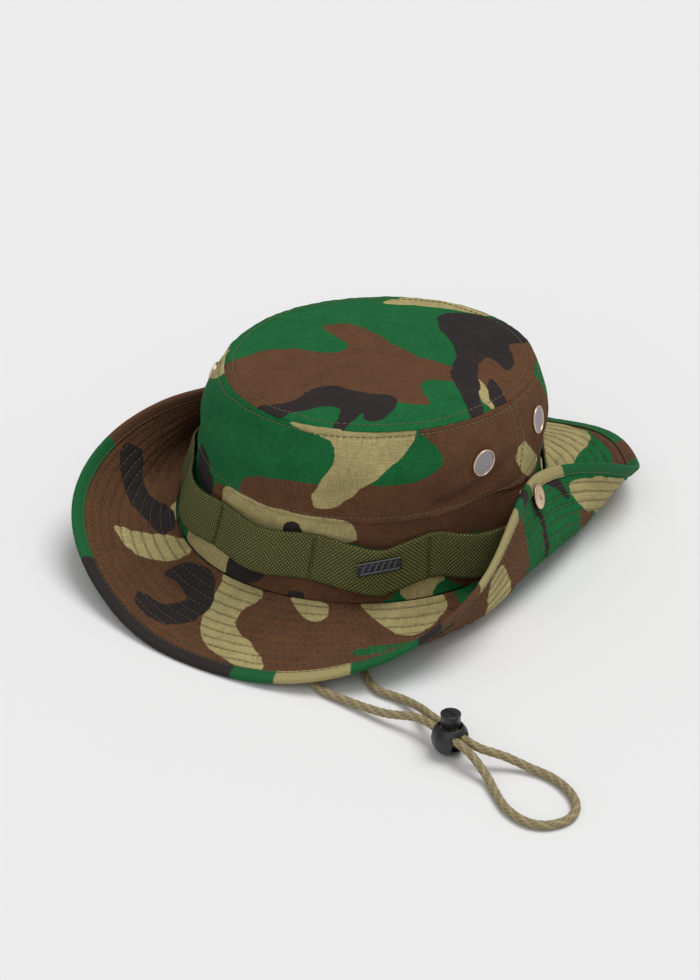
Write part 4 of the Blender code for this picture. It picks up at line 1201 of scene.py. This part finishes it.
def build_binding():
    """Tape folded round the edge, sewn with one row through all layers."""
    half, room = 1.72, 1.3
    profile = [(6.0, room), (6.1, room + 0.3), (5.7, half - 0.02), (5.0, half - 0.1), (4.2, half)]
    profile += [(3.0, half + 0.02), (1.8, half + 0.02), (0.9, half - 0.1), (0.2, half - 0.5), (-0.15, 0.6)]
    profile += [(-0.2, 0)]
    outside = profile + [(b, -o) for b, o in profile[-2::-1]]
    within = [(5.9, -room), (3.5, -room), (0.9, -room), (0.45, -0.7), (0.45, 0.7), (0.9, room), (3.5, room)]
    ring = np.array(outside + within + [(5.9, room)])
    for side, name in SIDES.items():
        angle = half_angles(side, 541)
        turns, inward = np.broadcast_arrays(angle[:, None], ring[None, :, 0])
        share = 1 - inward * MM / BRIM_WIDTH
        place = np.stack([np.sin(turns) * TAPE_ROUND, -np.cos(turns) * TAPE_ROUND, inward], -1)
        pucker = 0.12 * noise(place, (2.6, 2.6, 5)) + 0.12 * noise(place + 30, 12)
        pinch = -0.16 * np.exp(-(((inward - 5.0) / 0.7) ** 2))
        sign = np.sign(ring[None, :, 1]) * (np.arange(len(ring))[None] < len(outside))
        off = (ring[None, :, 1] + sign * (pucker + pinch)) * MM
        points = brim(angle, share, off)
        points[..., 2] = np.maximum(points[..., 2], 0.05 * MM)
        width = np.cumsum(np.concatenate([[0], np.linalg.norm(np.diff(ring, axis=0), axis=1)]))
        uv = np.stack([turns * TAPE_ROUND, np.broadcast_to(width[None], turns.shape)], -1)
        fields = tape_fields(turns)
        obj = skin(f"{name}_edge_tape", points[:, ::-1], TAPE, uv[:, ::-1], fields[:, ::-1], False, True)
        obj.data.flip_normals()
        fold(obj, side)
        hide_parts(f"{name}_flap_binding", "binding_front", "binding_back")


def brim_place(away, sign, lift):
    """Where a row of stitches lies, a distance from the brim's seam, on its upper or lower side."""

    def place(angle):
        share = np.full((len(angle), 1), away * MM / BRIM_WIDTH)
        if away < ROWS_END:
            base = 1.0 * MM + brim_relief(angle[:, None], share) - 0.02 * MM
        else:
            base = np.full_like(share, 1.5 * MM)
        off = sign * (base + lift * MM)
        here = brim(angle, share, off)[:, 0]
        above = brim(angle, share, off + sign * 1 * MM)[:, 0]
        return here, (above - here) / MM

    return place


def build_brim_stitches():
    """Rows of stitches round both faces of the brim, one object for each face of each side."""
    for side, name in SIDES.items():
        for sign, layer in ((1, "upper"), (-1, "lower")):
            low, high = (0.0, math.pi) if side > 0 else (-math.pi, 0.0)
            parts = []
            for away in [*ROWS, TAPE_ROW]:
                place = brim_place(away, sign, 0.1 if away < ROWS_END else 0.12)
                parts.append(row_stitches("row", place, 0.32, 3.3, low, high, body=None, length=0.8))
            fold(joined(f"{name}_brim_{layer}_stitches", parts), side)


def joined(name, parts):
    """One object from several, with nothing below the table."""
    points, faces, base = [], [], 0
    for part in parts:
        co = np.zeros(len(part.data.vertices) * 3)
        part.data.vertices.foreach_get("co", co)
        points.append(co.reshape(-1, 3))
        faces += [[v + base for v in p.vertices] for p in part.data.polygons]
        base += len(part.data.vertices)
        material = part.data.materials[0]
    for part in parts:
        bpy.data.objects.remove(part, do_unlink=True)
    points = np.concatenate(points)
    points[:, 2] = np.maximum(points[:, 2], 0.02 * MM)
    return mesh_object(name, points, faces, material)


build_brim()
build_binding()
build_brim_stitches()

# ---------------------------------------------------------------- webbing band, badge


def webbing_middle(angle):
    """How high the webbing's middle lies above the seam, in millimetres."""
    places, values = zip(*WEBBING_MIDDLE)
    return through(np.radians(places), values, angle)


def webbing_off(angle):
    """How far the band stands off the wall: close at a tack and slack between two."""
    return 1.55 + 3.3 * np.sin((angle - FIRST_TACK) * TACKS / 2) ** 2


def webbing_point(angle, up, out):
    """A point on the band: up from its middle and out from its middle layer, both in millimetres."""
    share = (webbing_middle(angle) + up) / (TOP_HEIGHT / MM)
    return wall(angle, share, (webbing_off(angle) + out) * MM)


def build_webbing():
    """The strap, from one long strip, and the upright stitches of its tacks."""
    columns = 1100
    angle = np.linspace(-179.7, 179.7, columns)[:, None] * math.pi / 180
    up = np.concatenate([np.linspace(-10.9, 10.9, 26), np.linspace(10.9, -10.9, 9)])[None]
    out = np.concatenate([np.full(26, 0.62), np.full(9, -0.62)])[None]
    selvedge = np.abs(up) > 10.5
    out = out - np.sign(out) * 0.35 * selvedge
    arc = angle * WALL_ROUND
    loops = 0.3 * np.sin(arc * math.tau / 1.5) * np.sign(up) * selvedge
    place = np.stack([arc + 0 * up, up + 0 * arc, 0 * (arc + up)], -1)
    wave = 0.5 * noise(place, (24, 40, 1)) + 0.12 * noise(place + 9, (5, 9, 1))
    tack = (angle - FIRST_TACK) * TACKS / math.tau
    gap = np.abs(tack - np.round(tack)) * math.tau / TACKS * WALL_ROUND
    pinch = -0.35 * np.exp(-((gap / 1.3) ** 2))
    lean = 0.6 * np.abs(up / 11) ** 3 * (1 - np.exp(-((gap / 8) ** 2)))
    up_now = up + loops + 0.35 * noise(place + 60, (30, 60, 1))
    points = webbing_point(angle, up_now, out + wave * 0.7 + pinch - lean)
    rows = points.shape[1]
    uv = np.stack([np.broadcast_to(arc, (columns, rows)), np.broadcast_to(up, (columns, rows))], -1)
    obj = skin("webbing_strap", points, WEBBING, uv, None, False, True)
    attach(obj, "hat")
    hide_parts("webbing_band")
    starts, ends, normals = [], [], []
    for k in range(TACKS):
        turn = (FIRST_TACK + k * math.tau / TACKS + math.pi) % math.tau - math.pi
        for column in (-0.6, 0.6):
            for i in range(9):
                a = turn + column / WALL_ROUND
                low = -10 + i * 2.2
                pair = np.array((low, low + 1.7))
                spots = webbing_point(np.full(2, a), pair, 0.55)
                starts.append(spots[0])
                ends.append(spots[1])
                normals.append((math.sin(a), -math.cos(a), 0))
    tacks = capsules("webbing_tacks", starts, ends, normals, 0.5 * MM, THREAD_DARK)
    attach(tacks, "hat")


def build_badge():
    """A plain bar with a raised border and plain ribs, pinned through the webbing."""
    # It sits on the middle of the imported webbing, whose slack holds it off the wall.
    angle, across, along = math.radians(39), 3.25, 10.5
    share = (21.5 - 8 * (1 - abs(math.cos(angle))) ** 2) / (TOP_HEIGHT / MM)
    off = (1.5 + 3.4 * math.sin((angle - FIRST_TACK) * TACKS / 2) ** 2 + 0.65) * MM
    place = wall_frame(angle, share, off) @ Matrix.Rotation(math.radians(12), 4, "Z")
    x = np.linspace(-across, across, 49)[None]
    y = np.linspace(-along, along, 151)[:, None]
    inset = np.minimum(across - np.abs(x), along - np.abs(y))
    rib = 0.32 * ease((np.sin((y + x * 0.5) * math.tau / 3.0) - 0.1) / 0.5) * ease((inset - 1.4) / 0.3)
    top = 2.1 + 0.3 * ease(inset / 0.4) - 0.35 * ease((inset - 1.0) / 0.25) + rib
    corner = 1 - ease((np.hypot(np.maximum(np.abs(x) - 2.2, 0), np.maximum(np.abs(y) - 9.4, 0)) - 0.85) / 0.3)
    top = np.where(corner > 0, top, 1.6)
    upper = np.stack([x + 0 * y, y + 0 * x, top], -1)
    lower = np.stack([x + 0 * y, y + 0 * x, np.full_like(top, 1.05)], -1)
    points = there_and_back(upper[:, ::-1], lower[:, ::-1]) * MM
    obj = skin("badge_bar", points, BADGE_METAL, round_columns=True)
    obj.data.transform(place)
    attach(obj, "hat")
    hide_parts("pin_badge")
    shaft = rounded([(0, 1.2, 0), (0.5, 1.2, 0), (0.5, -3.7), (0, -3.7, 0)], 0.3)
    washer = rounded([(2.4, -2.6), (2.4, -3.3), (0.8, -3.3), (0.8, -2.6)], 0.15)
    for i, shift in enumerate((-6.5, 6.5)):
        spot = place @ Matrix.Translation((0, shift * MM, 0))
        pin = lathe(f"badge_pin_{i + 1}", shaft, 24, BADGE_METAL, spot, False)
        nut = lathe(f"badge_nut_{i + 1}", washer, 48, BADGE_METAL, spot)
        for piece in (pin, nut):
            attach(piece, "hat")
        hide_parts(f"badge_push_nut_{i + 1}")


build_webbing()
build_badge()

# ---------------------------------------------------------------- vents and snaps


def woven_disc(name, radius, bottom, top, bulge, place, wires=1.0):
    """A round woven screen: wires over and under each other, slightly domed."""
    rings, columns = 64, 144
    r = np.linspace(0.02, radius, rings)[None]
    turn = (np.arange(columns) * math.tau / columns)[:, None]
    x, y = r * np.cos(turn), r * np.sin(turn)
    one, other = np.abs(np.cos(x * math.pi / wires)), np.abs(np.cos(y * math.pi / wires))
    over = np.sin((x / wires + 0.5) * math.pi) * np.sin((y / wires + 0.5) * math.pi)
    wire = np.maximum(one, other) ** 3
    z = top + bulge * (1 - (r / radius) ** 2) + 0.14 * wire + 0.05 * over
    # The tone is painted shade: dark in the holes between the wires, which are not cut through the disc.
    tone = np.repeat((0.15 + 0.85 * ease((np.maximum(one, other) - 0.62) / 0.25))[..., None], 4, -1)
    upper = np.stack([x, y, z + 0 * x], -1)
    lower = np.stack([x, y, bottom + 0 * x], -1)
    obj = skin(name, there_and_back(lower, upper) * MM, SCREEN_METAL, None, there_and_back(tone), True, True)
    obj.data.transform(place)
    return obj


def build_vents():
    """An eyelet, a woven screen and a washer behind, at four places on the wall."""
    for side, side_name in SIDES.items():
        for panel, (angle, share) in VENTS.items():
            name = f"{side_name}_{panel}_vent"
            place = wall_frame(math.radians(side * angle), share)
            eyelet = [(6.75, 0.1, 0.1), (6.75, 0.7, 0.2), (6.4, 1.1, 0.25), (6.0, 1.0, 0.2), (5.85, 0.5, 0.1)]
            eyelet += [(5.15, 0.4, 0.1), (5.15, -3.1, 0.1), (5.7, -3.1, 0.2), (5.7, 0.1, 0.1)]
            washer = [(7.6, -2.2), (7.6, -2.7), (6.0, -2.7), (6.0, -2.2)]
            ring = lathe(f"{name}_ring", rounded(eyelet[::-1], 0.2), 72, VENT_METAL, place)
            back = lathe(f"{name}_back_washer", rounded(washer[::-1], 0.18), 72, VENT_METAL, place)
            mesh = woven_disc(f"{name}_woven_screen", 5.9, 0.42, 0.5, 0.22, place)
            for piece, node in ((ring, "eyelet"), (back, "washer"), (mesh, "screen")):
                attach(piece, "hat")
                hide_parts(f"{name}_{node}")


def snap_frame(side):
    """The snap's place on the raised brim, and how far below it the wall lies, in millimetres."""
    angle, share = side * math.pi / 2, 1 - SNAP_FROM_EDGE / BRIM_WIDTH
    origin = brim(angle, [share])[0, 0]
    along = brim(angle + 0.03, [share])[0, 0] - brim(angle - 0.03, [share])[0, 0]
    across = brim(angle, [share + 0.03])[0, 0] - brim(angle, [share - 0.03])[0, 0]
    axis = np.cross(along, across)
    axis /= np.linalg.norm(axis)
    spot = origin
    for _ in range(5):
        place = wall_frame(angle, (spot[2] - SEAM_HEIGHT) / TOP_HEIGHT)
        normal = np.array(place.to_3x3().col[2])
        reach = (np.array(place.translation) - origin) @ normal / (axis @ normal)
        spot = origin + axis * reach
    return frame_at(origin, axis), reach / MM


def build_snaps():
    """A cap and socket on each raised side of the brim, and a stud and post on the wall."""
    cap = [(0.01, 4.25, 0), (3.2, 4.2, 0.5), (3.6, 4.0, 0.2), (4.4, 4.1, 0.3)]
    cap += [(6.0, 3.75, 0.35), (6.0, 3.2, 0.2)]
    cap += [(1.5, 3.2, 0.2), (1.5, -2.4, 0.2), (0.01, -2.4, 0)]
    socket = [(5.0, -2.8), (5.0, -4.3), (2.9, -4.3), (2.9, -3.2, 0.1), (1.9, -3.2, 0.1), (1.9, -2.8, 0.1)]
    for side, name in SIDES.items():
        place, below = snap_frame(side)
        stud = [(0.01, -3.5, 0), (1.9, -3.5), (2.2, -3.8), (1.7, -4.2), (1.7, -4.6), (4.6, -4.6), (4.6, -5.2)]
        stud += [(1.4, -5.2, 0.1), (1.4, below - 2.7, 0.1), (0.01, below - 2.7, 0)]
        post = [(0.01, below - 3.0, 0), (4.0, below - 3.0), (4.0, below - 3.7), (0.01, below - 3.7, 0)]
        for part, outline, body in (
            ("cap", cap, f"{name}_brim"),
            ("socket", socket, f"{name}_brim"),
            ("stud", stud, "hat"),
            ("post", post, "hat"),
        ):
            obj = lathe(f"{name}_snap_{part}_turned", rounded(outline, 0.18), 72, SNAP_METAL, place)
            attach(obj, body)
            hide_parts(f"{name}_snap_{part}")


build_vents()
build_snaps()

# ---------------------------------------------------------------- cord tabs and the cord lock


def build_tabs():
    """Short tabs of tape inside the crown that the cord's ends are sewn into."""
    for name in SIDES.values():
        low, high = (np.array(v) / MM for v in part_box(f"{name}_cord_tab"))
        middle, half = (low + high) / 2, (high - low) / 2
        turn = np.linspace(0, math.tau, 48, endpoint=False)[None]
        tall = np.linspace(-1, 1, 40)[:, None]
        grooves = np.exp(-(((tall + 0.55) / 0.12) ** 2)) + np.exp(-(((tall - 0.6) / 0.12) ** 2))
        squash = 1 - 0.12 * grooves
        x = np.sign(np.cos(turn)) * np.abs(np.cos(turn)) ** 0.35 * half[0] * squash
        y = np.sign(np.sin(turn)) * np.abs(np.sin(turn)) ** 0.35 * half[1] + 0 * tall
        end_round = np.sqrt(np.clip(1 - np.clip((np.abs(tall) - 0.9) / 0.1, 0, 1) ** 2, 0.02, 1))
        z = tall * half[2] + 0 * turn
        points = np.stack([middle[0] + x * end_round, middle[1] + y * end_round, middle[2] + z], -1)
        uv = np.stack([y, z], -1)
        obj = skin(f"{name}_tab_tape", points * MM, LINING, uv, round_columns=True)
        obj.data.flip_normals()
        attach(obj, "hat")
        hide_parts(f"{name}_cord_tab")


def box_tool(size, middle, place):
    """A box with sides along the lock's own axes, for cutting."""
    corners = np.array([(x, y, z) for x in (-1, 1) for y in (-1, 1) for z in (-1, 1)]) / 2 * size + middle
    faces = [(0, 1, 3, 2), (4, 6, 7, 5), (0, 4, 5, 1), (2, 3, 7, 6), (0, 2, 6, 4), (1, 5, 7, 3)]
    obj = mesh_object("tool", corners * MM, faces, PLASTIC, smooth=False)
    obj.data.transform(place)
    return obj


def build_lock():
    """The ball with its bore, the plunger in it, and the spring under the plunger."""
    own_axes = Matrix.Identity(4)
    place = Matrix.Translation(LOCK_CENTRE) @ Matrix.Rotation(LOCK_TURN, 4, "Z")
    radius, bore, floor = 8.2, 5.35, -6.6
    mouth = math.acos(bore / radius)
    outline = []
    for k in range(61):
        a = mouth + (-math.pi / 2 - mouth) * k / 60
        rim = 0.0 if k else -0.15
        outline.append((max((radius + rim) * math.cos(a), 0.01), (radius + rim) * math.sin(a)))
    outline += [(0.01, floor), (bore - 0.4, floor), (bore, floor + 0.4)]
    barrel = lathe("lock_ball", outline, 96, PLASTIC, own_axes)
    barrel.data.flip_normals()
    co = np.zeros(len(barrel.data.vertices) * 3)
    barrel.data.vertices.foreach_get("co", co)
    co = co.reshape(-1, 3)
    size = np.linalg.norm(co, axis=1, keepdims=True)
    outside = size[:, 0] > (radius - 0.3) * MM
    seam = 0.12 * MM * np.exp(-((co[:, 0] / (0.35 * MM)) ** 2)) * outside
    co += co / np.maximum(size, 1e-6) * seam[:, None]
    barrel.data.vertices.foreach_set("co", co.ravel())
    level, room = 10.0 - 8.3, 2.3
    tall = 2 * room + 2.5
    barrel = baked(barrel, box_tool((30, 8.9, tall), (0, 0, level - 1.25), own_axes))
    head = [(0.01, 12.3, 0), (3.9, 12.3, 0.15), (4.1, 12.1, 0.1), (4.5, 12.2, 0.25), (4.55, 11.6, 0.2)]
    head += [(4.35, 11.2, 0.2), (4.4, 6.0, 0.3), (5.1, 5.6, 0.2), (5.1, -1.9, 0.2), (0.01, -1.9, 0)]
    plunger = lathe("lock_plunger_turned", rounded(head, 0.2), 96, PLASTIC, own_axes)
    plunger.data.flip_normals()
    plunger = baked(
        plunger,
        box_tool((30, 8.9, tall), (0, 0, level + 1.25), own_axes),
        box_tool((10, 0.5, 0.6), (0, 0, 12.3), own_axes),
    )
    turns = np.linspace(0, 3 * math.tau, 241)
    low, high = floor + 0.5, -1.9 - 0.5
    middle = np.stack([3 * np.cos(turns), 3 * np.sin(turns), low + (high - low) * turns / turns[-1]], -1)
    out = np.stack([np.cos(turns), np.sin(turns), 0 * turns], -1)
    ring = np.arange(10) * math.tau / 10
    points = middle[:, None] + 0.25 * (
        out[:, None] * np.cos(ring)[None, :, None] + np.array((0, 0, 1)) * np.sin(ring)[None, :, None]
    )
    spring = skin("lock_spring_coil", points * MM, STEEL, round_columns=True)
    for obj, body, node, finish in (
        (barrel, "cord_lock", "lock_barrel", "lock_plastic"),
        (plunger, "lock_button_body", "lock_plunger", "lock_plastic"),
        (spring, "cord_lock", "lock_spring", "spring_steel"),
    ):
        obj.data.transform(place)
        obj.data.update()
        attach(obj, body)
        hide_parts(node)
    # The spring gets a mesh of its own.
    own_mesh(spring)


build_tabs()
build_lock()

# ---------------------------------------------------------------- floor and light


def build_stage():
    """The pale floor, an even sky and two soft suns, with colours shown as they are."""
    floor_material, _, shader = start_material("floor", 0.9)
    shader.inputs["Base Color"].default_value = (0.84, 0.84, 0.84, 1)
    shader.inputs["Specular IOR Level"].default_value = 0.0
    corners = [(-6, -6, 0), (6, -6, 0), (6, 6, 0), (-6, 6, 0)]
    floor = mesh_object("floor", corners, [(0, 1, 2, 3)], floor_material, smooth=False)
    world = bpy.data.worlds.new("studio")
    world.use_nodes = True
    sky = world.node_tree.nodes["Background"]
    sky.inputs["Color"].default_value = (1, 1, 1, 1)
    sky.inputs["Strength"].default_value = 0.36
    bpy.context.scene.world = world
    for name, tilt, turn, energy, spread in (("key", 20, 148, 1.75, 38), ("front", 52, 22, 0.62, 60)):
        data = bpy.data.lights.new(name, "SUN")
        data.energy, data.angle = energy, math.radians(spread)
        light = bpy.data.objects.new(name, data)
        light.rotation_euler = (math.radians(tilt), 0, math.radians(turn))
        bpy.context.scene.collection.objects.link(light)
    view = bpy.context.scene.view_settings
    view.view_transform, view.look, view.exposure = "Standard", "None", 0.0


build_stage()
